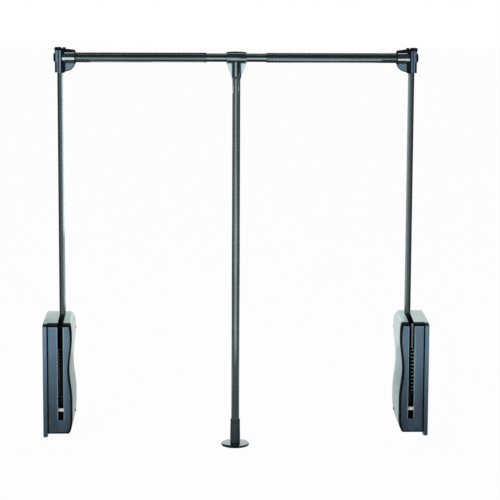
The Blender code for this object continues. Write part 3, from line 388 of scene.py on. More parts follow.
SLATE = (0.153, 0.243, 0.325)
GUNMETAL = (0.14, 0.18, 0.19)
slate = make_finish("slate_paint", SLATE, 0.3, metallic=0.85, grain=2200.0)
# A lighter slate: a painted highlight on the lips beside the slots and along the top edges.
slate_highlight = make_finish("slate_painted_highlight", shaded(SLATE, 1.9), 0.36, metallic=0.7, grain=2200.0)
# A darker slate: painted shade down the middle of each column's flute and on the tee sleeve's tapered end.
slate_shade = make_finish("slate_painted_shade", shaded(SLATE, 0.4), 0.36, metallic=0.7, grain=2200.0)
casting = make_finish("slate_casting", (0.5, 0.62, 0.68), 0.13, metallic=0.97, grain=1600.0, depth=SMOOTH)
tee_casting = make_finish("tee_casting", (0.28, 0.36, 0.4), 0.15, metallic=0.95, grain=1600.0, depth=SMOOTH)
web_blue = make_finish("pale_slate_paint", (0.15, 0.25, 0.32), 0.4, metallic=0.25, grain=1800.0)
moulding = make_finish("black_moulding", (0.007, 0.009, 0.01), 0.6, grain=1500.0, edge=0.15, specular=0.04)
shell_grey = make_finish("pale_shell", (0.51, 0.735, 0.72), 0.26, grain=1100.0, drift=0.05, depth=SMOOTH,
                         edge=0.1, coat=0.3)
tube_rail = make_tube("gunmetal_rail", gain=1.0, roughness=0.22, metallic=0.93, stretch=ALONG_X)
tube_inner = make_tube("gunmetal_inner", gain=1.8, roughness=0.13, metallic=0.97, stretch=ALONG_X)
tube_arm = make_tube("gunmetal_arm", gain=0.55, roughness=0.32, metallic=0.65, stretch=ALONG_Z)
tube_pole = make_tube("gunmetal_pole", gain=1.4, roughness=0.15, metallic=0.78, stretch=ALONG_Z)
grip_black = make_finish("soft_grip", (0.031, 0.047, 0.055), 0.5, grain=1300.0, stretch=(1.0, 1.0, 0.25),
                         edge=0.2, specular=0.1)
polished = make_finish("polished_plate", (0.27, 0.37, 0.375), 0.1, metallic=1.0, grain=500.0, drift=0.05,
                       edge=0.1)
lever_steel = make_finish("lever_steel", (0.014, 0.015, 0.016), 0.5, metallic=0.3, grain=700.0)
bright = make_finish("bright_steel", (0.8, 0.82, 0.83), 0.16, metallic=1.0, grain=1200.0, drift=0.06)
# A near-white zinc: a painted highlight on the stop pins, the springs and the damper strips that show through
# the slots.
highlight_zinc = make_finish("zinc_plate", (0.93, 0.93, 0.9), 0.5, metallic=0.05, grain=1200.0, drift=0.06)
bush_white = make_finish("bush_plastic", (0.7, 0.69, 0.64), 0.5, drift=0.05)
rubber = make_finish("buffer_rubber", (0.02, 0.02, 0.02), 0.8, grain=900.0, depth=0.00004)
print("finishes:", len(bpy.data.materials) - 1 - len(CARDS))

# %% [markdown]
# Most pieces below are made in one of two ways. A turned piece, such as a tube or a screw, starts as half
# its outline and is spun round an axis. A cylinder could be stretched to size instead, but an outline can
# also have steps, grooves and a bore. Real edges are never knife-sharp, and a small round on each is what
# catches the light, so every sharp edge gets a bevel.

# %% Define the helpers for turned pieces
ROUND_SIDES = 96
SHARP_ANGLE = math.radians(35)
FINE_EDGE = 0.0003
SOFT_EDGE = 0.0004
DOUBLES = 1e-6


def tidy(bm):
    """Merge doubled points and turn all faces outwards."""
    bmesh.ops.remove_doubles(bm, verts=bm.verts, dist=DOUBLES)
    bmesh.ops.recalc_face_normals(bm, faces=bm.faces)


def turn(profile, axis="Z", centre=(0, 0, 0), sides=ROUND_SIDES):
    """Spin a profile of (radius, distance along the axis). A profile that leaves the axis free is a ring."""
    bm = bmesh.new()
    chain = [bm.verts.new((radius, 0, along)) for radius, along in profile]
    edges = [bm.edges.new(pair) for pair in zip(chain, chain[1:])]
    if profile[0][0] > 0:
        edges.append(bm.edges.new((chain[-1], chain[0])))
    bmesh.ops.spin(bm, geom=chain + edges, cent=(0, 0, 0), axis=(0, 0, 1), angle=math.tau, steps=sides,
                   use_merge=True)
    bmesh.ops.rotate(bm, verts=bm.verts, cent=(0, 0, 0), matrix=AXIS_TURNS[axis])
    bmesh.ops.translate(bm, verts=bm.verts, vec=centre)
    tidy(bm)
    return bm


def bar(radius, start, end, axis, centre, sides=ROUND_SIDES, inner=0):
    """A plain round bar, as a part or as a drill, or a tube."""
    low, high = sorted((start, end))
    return turn([(inner, low), (radius, low), (radius, high), (inner, high)], axis, centre, sides)


def soften(bm, width, segments=2):
    """Round every sharp edge."""
    sharp = [edge for edge in bm.edges if edge.is_manifold and edge.calc_face_angle() > SHARP_ANGLE]
    bmesh.ops.bevel(bm, geom=sharp, offset=width, offset_type="OFFSET", segments=segments, profile=0.5,
                    affect="EDGES", clamp_overlap=True, material=-1)


print("turned pieces have", ROUND_SIDES, "sides")

# %% [markdown]
# A flat piece, such as the lever, starts as an outline that is filled and then extruded. Where solids
# cross, as they do in a casting, modelling the crossing by hand is slow work, so Boolean modifiers join the
# solids and cut their bores.

# %% Define the helpers for flat and joined pieces
def arc(centre, radii, start_deg, end_deg, steps):
    """Points along a stretch of an ellipse."""
    angles = [math.radians(start_deg + (end_deg - start_deg) * step / steps) for step in range(steps + 1)]
    return [(centre[0] + radii[0] * math.cos(angle), centre[1] + radii[1] * math.sin(angle))
            for angle in angles]


def draw_loop(bm, points, axis, along):
    """Put a flat closed outline in a mesh. Its points give the two other coordinates, in X, Y, Z order."""
    verts = []
    for point in points:
        place = list(point)
        place.insert("XYZ".index(axis), along)
        verts.append(bm.verts.new(place))
    return [bm.edges.new(pair) for pair in zip(verts, verts[1:] + verts[:1])]


def moved_verts(grown):
    """The new points among what an extrusion made."""
    return [item for item in grown["geom"] if isinstance(item, bmesh.types.BMVert)]


def extrude_flat(outline, axis, low, high, holes=()):
    """Fill an outline, with its holes left open, and extrude it along an axis."""
    bm = bmesh.new()
    edges = draw_loop(bm, outline, axis, low)
    for hole in holes:
        edges += draw_loop(bm, hole, axis, low)
    normal = AXIS_TURNS[axis] @ Vector((0, 0, 1))
    if holes:
        bmesh.ops.triangle_fill(bm, use_beauty=True, edges=edges, normal=normal)
    else:
        bmesh.ops.edgeloop_fill(bm, edges=edges)
    far = moved_verts(bmesh.ops.extrude_face_region(bm, geom=bm.faces[:]))
    bmesh.ops.translate(bm, verts=far, vec=normal * (high - low))
    tidy(bm)
    return bm


def combine(shapes, operation):
    """Join closed shapes into the first one, or cut them from it."""
    things = []
    for shape in shapes:
        mesh = bpy.data.meshes.new("rough")
        shape.to_mesh(mesh)
        shape.free()
        things.append(bpy.data.objects.new("rough", mesh))
        scene.collection.objects.link(things[-1])
    for tool in things[1:]:
        step = things[0].modifiers.new("step", "BOOLEAN")
        step.operation = operation
        step.solver = "MANIFOLD"
        step.object = tool
    bm = bmesh.new()
    bm.from_object(things[0], bpy.context.evaluated_depsgraph_get())
    for mesh in [thing.data for thing in things]:
        bpy.data.meshes.remove(mesh)
    tidy(bm)
    return bm


print("flat pieces can be extruded along", ", ".join(AXIS_TURNS))

# %% [markdown]
# Every mesh becomes an object in the same way. Its faces get their finishes, and its shading is smooth up
# to its sharp edges. Then it is parented to the body that carries it, and the packed node it stands for is
# hidden. The sizes of turned pieces are read from those nodes, so that nothing is measured twice.

# %% Define how a piece is finished
SIDES = {"left": -1, "right": 1}
FACING = 0.5


def finish_piece(node, how, bm, body, slot, finishes, choose=None, added=False):
    """Make the finished object, with its body; the slot is not used. It stands for its node, unless it's
    added.
    """
    for face in bm.faces:
        face.material_index = choose(face) if choose else 0
    mesh = bpy.data.meshes.new(f"{node}_{how}")
    bm.to_mesh(mesh)
    bm.free()
    mesh.shade_smooth()
    mesh.set_sharp_from_angle(angle=SHARP_ANGLE)
    for finish in finishes:
        mesh.materials.append(finish)
    made = bpy.data.objects.new(f"{node}_{how}", mesh)
    scene.collection.objects.link(made)
    made.modifiers.new("even_shading", "WEIGHTED_NORMAL").keep_sharp = True
    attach(made, body)
    if not added:
        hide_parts(node)
    return made


def round_size(node, axis):
    """A turned node's centre, radius and two ends along its axis."""
    low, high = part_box(node)
    along = "XYZ".index(axis)
    across = (along + 1) % 3
    centre = (low + high) / 2
    centre[along] = 0
    return centre, (high[across] - low[across]) / 2, low[along], high[along]


print("pieces are made for the sides", ", ".join(SIDES))

# %% [markdown]
# The rail is two outer tubes over one inner tube, and the arms and the pole are tubes as well. A cylinder
# with a Solidify modifier would do, but a tube drawn as a ring profile and spun has clean square ends from
# the start, and its ends only need their edges rounded.

# %% Spin the tubes
TUBE_WALL = 0.0012
TUBES = {"centre_rail": ("X", "rail_centre", tube_inner), "handle_pole": ("Z", "handle", tube_pole)}
for side_name in SIDES:
    TUBES[side_name + "_rail_tube"] = ("X", side_name + "_arm", tube_rail)
    TUBES[side_name + "_arm_tube"] = ("Z", side_name + "_arm", tube_arm)

for node, (axis, body, finish) in TUBES.items():
    centre, radius, low, high = round_size(node, axis)
    tube = bar(radius, low, high, axis, centre, inner=radius - TUBE_WALL)
    soften(tube, FINE_EDGE)
    finish_piece(node, "drawn", tube, body, "gunmetal_tube", [finish])
    print(f"{node}: {2000 * radius:.0f} mm tube, {1000 * (high - low):.0f} mm long")

# %% [markdown]
# The housing's two mouldings, a dark front frame and a pale cover behind it, share one side outline: a foot
# that curves in, a shallow waist and a rounded head. The outline is written as two quarter ellipses and one
# cosine wave. Each moulding is a loft: outlines stand one behind another and are bridged row by row. The
# last few rows draw in along a quarter circle, which gives the wall its round rim. The cover's rows also
# swell and grow rounder towards the back, as the real one does.

# %% Draw the housing's outline
SEAT_GAP = 0.0003
WAIST_DEPTH = 0.006
WAIST_RISE = 0.144
WAIST_REACH = 0.072
FRONT_FOOT, FRONT_HEAD = (0.009, 0.031), (0.004, 0.030)
REAR_FOOT, REAR_HEAD = (0.016, 0.054), (0.014, 0.024)
CURVE_STEPS = 12
WAIST_STEPS = 40
RIM_STEPS = 6

bezel_low, bezel_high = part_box("left_front_bezel")
front_y, seam_y = bezel_low.y, bezel_high.y
rear_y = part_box("left_housing_shell")[1].y
body_low, body_high = bezel_low.z, bezel_high.z
body_height = body_high - body_low
plate_x = SEAT_GAP - bezel_low.x
wall_x = -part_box("left_mounting_plate")[0].x
body_width = plate_x + bezel_high.x
arm_x = round_size("right_arm_tube", "Z")[0].x


def body_curve(rear_share, inset, height):
    """The room side from foot to head, as (distance from the plate, rise). Extra height widens it by half."""
    foot_taper, foot_reach = Vector(FRONT_FOOT).lerp(Vector(REAR_FOOT), rear_share)
    head_taper, head_reach = Vector(FRONT_HEAD).lerp(Vector(REAR_HEAD), rear_share)
    curve = arc((body_width - foot_taper, foot_reach), (foot_taper, foot_reach), -90, 0, CURVE_STEPS)
    waist_low = WAIST_RISE - WAIST_REACH
    waist_high = min(WAIST_RISE + WAIST_REACH, body_height - head_reach)
    for step in range(WAIST_STEPS):
        rise = waist_low + (waist_high - waist_low) * step / WAIST_STEPS
        dip = (1 + math.cos(math.pi * (rise - WAIST_RISE) / WAIST_REACH)) / 2
        curve.append((body_width - WAIST_DEPTH * dip, rise))
    head_centre = (body_width - head_taper, body_height - head_reach)
    curve += arc(head_centre, (head_taper, head_reach), 0, 90, CURVE_STEPS)
    wider = (height - body_height) / 2 - inset
    return [(width + wider, inset + rise * (height - 2 * inset) / body_height) for width, rise in curve]


def body_row(side, y, edges, inset=0.0, rear_share=0.0, swell=0.0):
    """One outline of the housing. The edges are where its foot and its head end, measured from the plate."""
    height = body_height + swell
    head = height - inset
    hem = min(body_height + SEAT_GAP, head - SEAT_GAP / 2)
    points = [(edges[0], inset), *body_curve(rear_share, inset, height), (edges[1], head), (edges[1], hem)]
    return [(side * (plate_x - width), y, body_low + rise) for width, rise in points]


def rim_steps(start_y, end_y, radius):
    """Depths and insets of the rows that round a rim off."""
    toward = 1 if end_y > start_y else -1
    angles = [math.pi / 2 * step / RIM_STEPS for step in range(RIM_STEPS + 1)]
    return [(end_y - toward * radius * (1 - math.sin(angle)), radius * (1 - math.cos(angle)))
            for angle in angles]


def skin_rows(rows):
    """Draw closed outlines one behind another, bridge each to the next and fill the last."""
    bm = bmesh.new()
    before = []
    for row in rows:
        verts = [bm.verts.new(place) for place in row]
        edges = [bm.edges.new(pair) for pair in zip(verts, verts[1:] + verts[:1])]
        if before:
            bmesh.ops.bridge_loops(bm, edges=before + edges)
        before = edges
    bmesh.ops.edgeloop_fill(bm, edges=before)
    tidy(bm)
    cap = max(bm.faces, key=lambda face: len(face.verts))
    if cap.normal.y * (rows[-1][0][1] - rows[0][0][1]) < 0:
        bmesh.ops.reverse_faces(bm, faces=bm.faces)
    return bm


print(f"housing: {1000 * body_width:.0f} mm wide, {1000 * body_height:.0f} mm high")

# %% [markdown]
# The lever swings out through a slot that runs up the front frame, over its top and on into the cover. A
# Boolean could cut it. Slicing the surface along the slot's sides and deleting what lies between needs no
# cutter, and it is done while the wall is still a thin skin: the wall's thickness comes afterwards and
# gives the slot its sides. The sides towards the plate are deleted too: the plate closes them.

# %% Define how a skin is cut and thickened
SLOT_HALF = 0.00625
WALL = 0.0025


def slice_skin(bm, places, axis):
    """Cut the skin along planes that stand square to an axis, and leave both sides."""
    normal = AXIS_TURNS[axis] @ Vector((0, 0, 1))
    for place in places:
        bmesh.ops.bisect_plane(bm, geom=bm.verts[:] + bm.edges[:] + bm.faces[:], dist=DOUBLES,
                               plane_co=place * normal, plane_no=normal)


def open_skin(bm, low, high):
    """Delete the faces whose middles lie in a box."""
    doomed = []
    for face in bm.faces:
        spot = face.calc_center_median()
        if all(low[index] < spot[index] < high[index] for index in range(3)):
            doomed.append(face)
    bmesh.ops.delete(bm, geom=doomed, context="FACES")


def open_slot(bm, side, low_y, high_y, low_z, plate_margin):
    """Delete the skin between the slot's two sides, and what faces the plate from within a margin."""
    sides = [side * arm_x - SLOT_HALF, side * arm_x + SLOT_HALF]
    slice_skin(bm, sides, "X")
    open_skin(bm, (sides[0], low_y, low_z), (sides[1], high_y, 1))
    closed_x = sorted((side * (plate_x - plate_margin), side * wall_x))
    open_skin(bm, (closed_x[0], front_y, 0), (closed_x[1], rear_y, body_high - WALL))


def thicken(skin):
    """Give a moulding's skin its wall, and round the edges."""
    bmesh.ops.solidify(skin, geom=skin.faces[:], thickness=WALL)
    soften(skin, SOFT_EDGE)


print(f"slots: {2000 * SLOT_HALF:.1f} mm wide, in walls of {1000 * WALL:.1f} mm")

# %% [markdown]
# A lighter line runs beside each slot and under the top edge, a painted highlight where the edges catch the
# light. It could be painted on with an image. Here two more slices leave a narrow lip there, whose faces get
# the lighter finish of that painted highlight. The cover's inside is painted black as painted shade, so the
# slots look deep.

# %% Mould the front frames and the covers
SLOT_FOOT = 0.032
SHELL_SLOT_END = 0.039
BEZEL_ROUND = 0.004
SEAM_SHARE = 0.85
COVER_ROUND = 0.010
COVER_ROWS = 8
COVER_SWELL = 0.006
LAP_TAPER = 0.003
LIP = 0.0016
TOP_EDGE = 0.006
FLAT_FRONT = -0.997

slot_foot = body_low + SLOT_FOOT
top_edge = body_high - TOP_EDGE


def cover_swell(share):
    """How much the cover grows at a share of its depth."""
    return COVER_SWELL * math.sin(math.pi / 2 * share)


def front_finish(face):
    """Slot 1 for the flat front of a frame, 2 for its lips, which carry a painted highlight, 0 for its rim
    and sides.
    """
    spot = face.calc_center_median()
    if face.normal.y > FLAT_FRONT or spot.z > top_edge:
        return 0
    by_slot = abs(abs(spot.x) - arm_x) < SLOT_HALF + LIP and spot.z > slot_foot
    return 2 if by_slot or spot.z > top_edge - LIP else 1


def cover_finish(face):
    """Slot 1 for faces that look inwards, painted black as painted shade, 0 for the rest."""
    middle = Vector((side * (plate_x - body_width / 2), (seam_y + rear_y) / 2, (body_low + body_high) / 2))
    return 1 if face.normal.dot(face.calc_center_median() - middle) < 0 else 0


for side_name, side in SIDES.items():
    rows = [body_row(side, seam_y, (SEAT_GAP, SEAT_GAP))]
    for y, inset in rim_steps(seam_y, front_y, BEZEL_ROUND):
        seam = SEAT_GAP + SEAM_SHARE * inset
        rows.append(body_row(side, y, (seam, seam), inset))
    skin = skin_rows(rows)
    slice_skin(skin, (slot_foot, top_edge, top_edge - LIP), "Z")
    slice_skin(skin, (side * arm_x - SLOT_HALF - LIP, side * arm_x + SLOT_HALF + LIP), "X")
    open_slot(skin, side, front_y - LIP, seam_y + LIP, slot_foot, 2 * SEAT_GAP)
    thicken(skin)
    finish_piece(side_name + "_front_bezel", "moulded", skin, side_name + "_housing", "slate_paint",
                 [moulding, slate, slate_highlight], front_finish)
    cover_front, rim_start = seam_y + SEAT_GAP, rear_y - COVER_ROUND
    lap = plate_x - wall_x + SEAT_GAP
    steps = [(cover_front + step / COVER_ROWS * (rim_start - cover_front), 0.0) for step in range(COVER_ROWS)]
    rows = []
    for y, inset in steps + rim_steps(cover_front, rear_y, COVER_ROUND):
        share = (y - cover_front) / (rear_y - cover_front)
        edges = (SEAT_GAP, lap + inset + LAP_TAPER * share)
        rows.append(body_row(side, y, edges, inset, share, cover_swell(share)))
    skin = skin_rows(rows)
    slice_skin(skin, [SHELL_SLOT_END], "Y")
    open_slot(skin, side, seam_y - LIP, SHELL_SLOT_END, body_high - COVER_ROUND / 2, WALL)
    thicken(skin)
    # The cover's inward faces take the black moulding as painted shade inside the housing.
    finish_piece(side_name + "_housing_shell", "moulded", skin, side_name + "_housing", "pale_shell",
                 [shell_grey, moulding], cover_finish)
print("mouldings: a front frame and a cover on each side")

# %% [markdown]
# Behind each cover stands a thick plate that is screwed to the wardrobe's wall. It is a rectangle with
# round corners, four screw holes and two hollow posts that take the cover's screws. Filling the outline and
# the holes together leaves the holes open, so one extrusion makes plate and holes at once. The posts are
# spun tubes.

# %% Cut the mounting plates
PLATE_CORNER = 0.004
PLATE_EDGE = 0.0008
WALL_HOLE_RADIUS = 0.00275
WALL_HOLE_INSET, WALL_HOLE_MARGIN = 0.017, 0.020
POST_RADIUS = 0.0045
SCREW_HOLE = 0.0023
SCREW_HEAD_HEIGHT = 0.0022
HOLE_STEPS = 32
CORNER_STEPS = 8
TOP_FACING, LINE_FACING = 0.6, 0.15


def rounded_box(low, high, radius):
    """Outline of a rectangle with round corners."""
    inner_low = (low[0] + radius, low[1] + radius)
    inner_high = (high[0] - radius, high[1] - radius)
    centres = [inner_high, (inner_low[0], inner_high[1]), inner_low, (inner_high[0], inner_low[1])]
    points = []
    for quarter, centre in enumerate(centres):
        points += arc(centre, (radius, radius), 90 * quarter, 90 * quarter + 90, CORNER_STEPS)
    return points


def plate_finish(face):
    """Slot 1 for the black top, 2 for the painted highlight line under it, 0 for the rest."""
    if face.normal.z > TOP_FACING:
        return 1
    return 2 if face.normal.z > LINE_FACING and face.normal.y < -FACING else 0


def round_hole(y, z, radius):
    return arc((y, z), (radius, radius), 0, 360, HOLE_STEPS)[:-1]


def seat_hole(node):
    """A hole along X that a turned node sits in."""
    centre, radius = round_size(node, "X")[:2]
    return round_hole(centre.y, centre.z, radius + SEAT_GAP)


def add_shape(bm, other):
    """Move another shape into a mesh as it stands."""
    mesh = bpy.data.meshes.new("rough")
    other.to_mesh(mesh)
    other.free()
    bm.from_mesh(mesh)
    bpy.data.meshes.remove(mesh)


for side_name, side in SIDES.items():
    low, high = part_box(side_name + "_mounting_plate")
    rows = (low.z + WALL_HOLE_MARGIN, high.z - WALL_HOLE_MARGIN)
    columns = (low.y + WALL_HOLE_INSET, high.y - WALL_HOLE_INSET)
    holes = [round_hole(y, z, WALL_HOLE_RADIUS) for y in columns for z in rows]
    holes += [seat_hole(side_name + "_pivot_axle"), seat_hole(side_name + "_stop_pin")]
    faces_x = sorted((side * plate_x, side * wall_x))
    outline = rounded_box((low.y, low.z), (high.y, high.z), PLATE_CORNER)
    plate = extrude_flat(outline, "X", *faces_x, holes)
    soften(plate, PLATE_EDGE)
    for screw in ("_cover_screw_lower", "_cover_screw_upper"):
        centre, _, near, far = round_size(side_name + screw, "X")
        post_end = side * (min(abs(near), abs(far)) + SCREW_HEAD_HEIGHT + 2 * WALL)
        add_shape(plate, bar(POST_RADIUS, post_end, side * plate_x, "X", centre, HOLE_STEPS, SCREW_HOLE))
    finish_piece(side_name + "_mounting_plate", "cut", plate, side_name + "_housing", "slate_paint",
                 [slate, moulding, slate_highlight], plate_finish)
    print(f"{side_name} plate: {len(holes)} holes, {1000 * (high.z - low.z):.0f} mm high")

# %% [markdown]
# The lever is a flat steel bar: a round hub on the axle, a straight run that leans back, and a neck that
# stands up out of the slot into the arm. Its outline is an arc and four corners, where two straight lines
# leave the hub as tangents. A round spigot on the neck is what the arm's tube slides over.

# %% Shape the levers
LEVER_THICK = 0.008
HUB_RADIUS = 0.028
NECK_WIDTH, NECK_LENGTH = 0.020, 0.024
SPIGOT_RADIUS, SPIGOT_LENGTH = 0.0054, 0.040
LEVER_EDGE = 0.0008
HUB_STEPS = 56

arm_y = round_size("left_arm_tube", "Z")[0].y
pivot = round_size("left_pivot_axle", "X")[0]
neck_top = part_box("left_arm_tube")[0].z - SEAT_GAP
neck_foot = body_high - NECK_LENGTH


def lever_outline():
    """The lever's side view as (y, z), from its hub round to its neck."""
    front = (arm_y - NECK_WIDTH / 2, neck_foot)
    rear = (arm_y + NECK_WIDTH / 2, neck_foot)
    leaning = []
    for (y, z), sign in ((front, 1), (rear, -1)):
        away = (y - pivot.y, z - pivot.z)
        tangent = math.acos(HUB_RADIUS / math.hypot(*away))
        leaning.append(math.degrees(math.atan2(away[1], away[0]) + sign * tangent))
    hub = arc((pivot.y, pivot.z), (HUB_RADIUS, HUB_RADIUS), leaning[0], leaning[1] + 360, HUB_STEPS)
    return hub + [rear, (rear[0], neck_top), (front[0], neck_top), front]


for side_name, side in SIDES.items():
    middle = side * arm_x
    holes = [seat_hole(side_name + "_lever_bush"), seat_hole(side_name + "_crank_pin")]
    lever = extrude_flat(lever_outline(), "X", middle - LEVER_THICK / 2, middle + LEVER_THICK / 2, holes)
    soften(lever, LEVER_EDGE)
    spigot_top = neck_top + SPIGOT_LENGTH
    add_shape(lever, bar(SPIGOT_RADIUS, neck_top, spigot_top, "Z", (middle, arm_y, 0), HOLE_STEPS))
    finish_piece(side_name + "_lever", "flat", lever, side_name + "_arm", "lever_steel", [lever_steel])
    print(f"{side_name} lever: {1000 * (neck_top - pivot.z + HUB_RADIUS):.0f} mm from hub to neck")

# %% [markdown]
# Pins, axles, rods and bushes are turned on a lathe, and a lathe operator breaks every edge with a small
# chamfer. A list with one line for each piece is enough to spin them all: the name, the axis, the body that
# carries it, the finish and, for the hollow bush, its wall.

# %% Turn the pins, rods and bushes
PIN_EDGE = 0.0005
BUSH_WALL = 0.0017
# Each piece: its axis, body, slot and finish, and the wall if it is hollow.
TURNED = {
    "pivot_axle": ("X", "_housing", "bright_steel", bright, 0),
    "stop_pin": ("X", "_housing", "bright_steel", highlight_zinc, 0),
    "crank_pin": ("X", "_arm", "bright_steel", bright, 0),
    "plunger_rod": ("Z", "_plunger", "bright_steel", bright, 0),
    "lever_bush": ("X", "_arm", "bush_plastic", bush_white, BUSH_WALL),
}
for side_name in SIDES:
    for label, (axis, body, slot, finish, wall) in TURNED.items():
        node = side_name + "_" + label
        centre, radius, low, high = round_size(node, axis)
        pin = bar(radius, low, high, axis, centre, HOLE_STEPS, radius - wall if wall else 0)
        soften(pin, PIN_EDGE)
        finish_piece(node, "turned", pin, side_name + body, slot, [finish])
    print(side_name, "side:", ", ".join(TURNED))

# %% [markdown]
# A coil spring pushes each yoke down and so holds the rail up. The wire's round section is spun twelve
# times while each step also lifts it a little, which is all that a coil is. The spring shortens as the rail
# comes down.

# %% Wind the springs
SPRING_TURNS = 12
STEPS_A_TURN = 28
WIRE_RADIUS = 0.0011
WIRE_SIDES = 10

for side_name in SIDES:
    low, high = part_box(side_name + "_spring")
    middle = (low + high) / 2
    coil_radius = (high.x - low.x) / 2 - WIRE_RADIUS
    spring = bmesh.new()
    ring = bmesh.ops.create_circle(spring, segments=WIRE_SIDES, radius=WIRE_RADIUS)["verts"]
    bmesh.ops.rotate(spring, verts=ring, cent=(0, 0, 0), matrix=Matrix.Rotation(math.pi / 2, 3, "X"))
    bmesh.ops.translate(spring, verts=ring, vec=(middle.x + coil_radius, middle.y, low.z + WIRE_RADIUS))
    steps = SPRING_TURNS * STEPS_A_TURN
    lift = (high.z - low.z - 2 * WIRE_RADIUS) / steps
    bmesh.ops.spin(spring, geom=spring.verts[:] + spring.edges[:], cent=(middle.x, middle.y, 0),
                   axis=(0, 0, 1), dvec=(0, 0, lift), angle=math.tau * SPRING_TURNS, steps=steps)
    tidy(spring)
    bmesh.ops.edgeloop_fill(spring, edges=[edge for edge in spring.edges if edge.is_boundary])
    tidy(spring)
    coil = finish_piece(side_name + "_spring", "wound", spring, side_name + "_housing", "bright_steel",
                        [highlight_zinc])
    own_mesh(coil)
    print(f"{side_name} spring: {SPRING_TURNS} turns, {1000 * (high.z - low.z):.0f} mm long")

# %% [markdown]
# The rest of the spring unit stands beside the lever. The yoke is a block with a window that the crank pin
# runs in. The damper is a black cylinder with a ring rolled into each end and a foot against the plate; a
# pale strip down its front is a painted highlight. Both sides use the same damper, so the painted highlight
# is left of the middle on both. The rubber buffer is a soft block that the neck leans on. They show only
# through the slots, but the slots are what one looks into.

# %% Build the yokes, dampers and buffers
YOKE_WALL = 0.003
YOKE_EDGE = 0.0007
BLOCK_CORNER = 0.001
PIN_PLAY = 0.0011
DAMPER_BORE, DAMPER_END = 0.0033, 0.006
DAMPER_SIDES = 48
DAMPER_RING, RING_DEPTH = 0.0025, 0.0007
DAMPER_FOOT_HALF, DAMPER_FOOT_MARGIN = 0.005, 0.006
DAMPER_FOOT_CORNER, DAMPER_FOOT_EDGE = 0.002, 0.0006
# Where the damper's painted highlight starts and ends, left of its middle.
HIGHLIGHT_START, HIGHLIGHT_END = 0.0038, 0.0073
BUFFER_EDGE = 0.0012


def damper_finish(face):
    """Slot 0 for the painted highlight, a pale strip down a damper's front left of its middle, 1 for the
    painted rest.
    """
    leftward = rod.x - face.calc_center_median().x
    return 0 if HIGHLIGHT_START < leftward < HIGHLIGHT_END and face.normal.y < 0 else 1


def rolled_ring(radius, start, toward):
    """The profile of a damper's end, with a shallow ring a little way in."""
    near, far = start + toward * DAMPER_RING, start + toward * 2 * DAMPER_RING
    return [(radius, start), (radius, near), (radius - RING_DEPTH, near + toward * RING_DEPTH),
            (radius - RING_DEPTH, far), (radius, far + toward * RING_DEPTH)]


for side_name, side in SIDES.items():
    low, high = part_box(side_name + "_yoke")
    outside = rounded_box((low.y, low.z), (high.y, high.z), YOKE_EDGE)
    crank, crank_radius = round_size(side_name + "_crank_pin", "X")[:2]
    half_window = crank_radius + PIN_PLAY
    window = rounded_box((low.y + YOKE_WALL, crank.z - half_window),
                         (high.y - YOKE_WALL, crank.z + half_window), BLOCK_CORNER)
    yoke = extrude_flat(outside, "X", low.x, high.x, [window])
    soften(yoke, YOKE_EDGE)
    finish_piece(side_name + "_yoke", "windowed", yoke, side_name + "_plunger", "lever_steel", [lever_steel])
    rod = round_size(side_name + "_plunger_rod", "Z")[0]
    low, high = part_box(side_name + "_damper_cylinder")
    radius = (high.y - low.y) / 2
    profile = [(0, high.z - DAMPER_END), (DAMPER_BORE, high.z - DAMPER_END), (DAMPER_BORE, low.z),
               *rolled_ring(radius, low.z, 1), *reversed(rolled_ring(radius, high.z, -1)), (0, high.z)]
    damper = turn(profile, "Z", rod, DAMPER_SIDES)
    soften(damper, FINE_EDGE)
    ends = sorted((rod.x, side * (plate_x - SEAT_GAP)))
    outline = rounded_box((rod.y - DAMPER_FOOT_HALF, low.z + DAMPER_FOOT_MARGIN),
                          (rod.y + DAMPER_FOOT_HALF, high.z - DAMPER_FOOT_MARGIN), DAMPER_FOOT_CORNER)
    foot = extrude_flat(outline, "X", *ends)
    soften(foot, DAMPER_FOOT_EDGE)
    add_shape(damper, foot)
    finish_piece(side_name + "_damper_cylinder", "rolled", damper, side_name + "_housing", "bright_steel",
                 [highlight_zinc, lever_steel], damper_finish)
    low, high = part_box(side_name + "_rest_buffer")
    buffer = extrude_flat(rounded_box((low.x, low.y), (high.x, high.y), BLOCK_CORNER), "Z", low.z, high.z)
    soften(buffer, BUFFER_EDGE, segments=3)
    finish_piece(side_name + "_rest_buffer", "moulded", buffer, side_name + "_housing", "buffer_rubber",
                 [rubber])
print("spring units: yoke, damper and buffer on each side")

# %% [markdown]
# Each corner bracket is a casting of simple solids: a column over the arm, a cup for the rail, a fin on top
# and a boss on the wall side. They are joined and bored with Boolean modifiers, because that is also how
# the pattern for a casting is built up. The column's front has a shallow flute and a deep groove, which
# come from its outline.

# %% Draw the brackets' column and choose their finishes
COLUMN_IN, COLUMN_OUT = 0.010, 0.0115
COLUMN_HALF = 0.012
COLUMN_TOP, COLUMN_FOOT = 0.016, 0.033
COLUMN_ROUND = 0.003
GROOVE_START, GROOVE_WIDTH, GROOVE_DEPTH = 0.002, 0.0035, 0.003
FLUTE_MIDDLE, FLUTE_HALF, FLUTE_DEPTH = 0.0035, 0.0018, 0.001
FLUTE_STEPS = 4
REBATE, REBATE_DEPTH = 0.0045, 0.005
CUP_RADIUS, CUP_REACH = 0.0145, 0.034
MOUTH_RING, MOUTH_STEP = 0.0022, 0.0005
BOSS_RADIUS, BOSS_LENGTH = 0.0095, 0.003
CUP_TOP_MARGIN, TOP_MARGIN, CORNER_MARGIN = 0.0004, 0.0002, 0.0008

rail_height = round_size("left_rail_tube", "X")[0].z
rail_axis = (0, arm_y, rail_height)
column_foot, column_top = rail_height - COLUMN_FOOT, rail_height + COLUMN_TOP
rebate_top = rail_height - BOSS_RADIUS


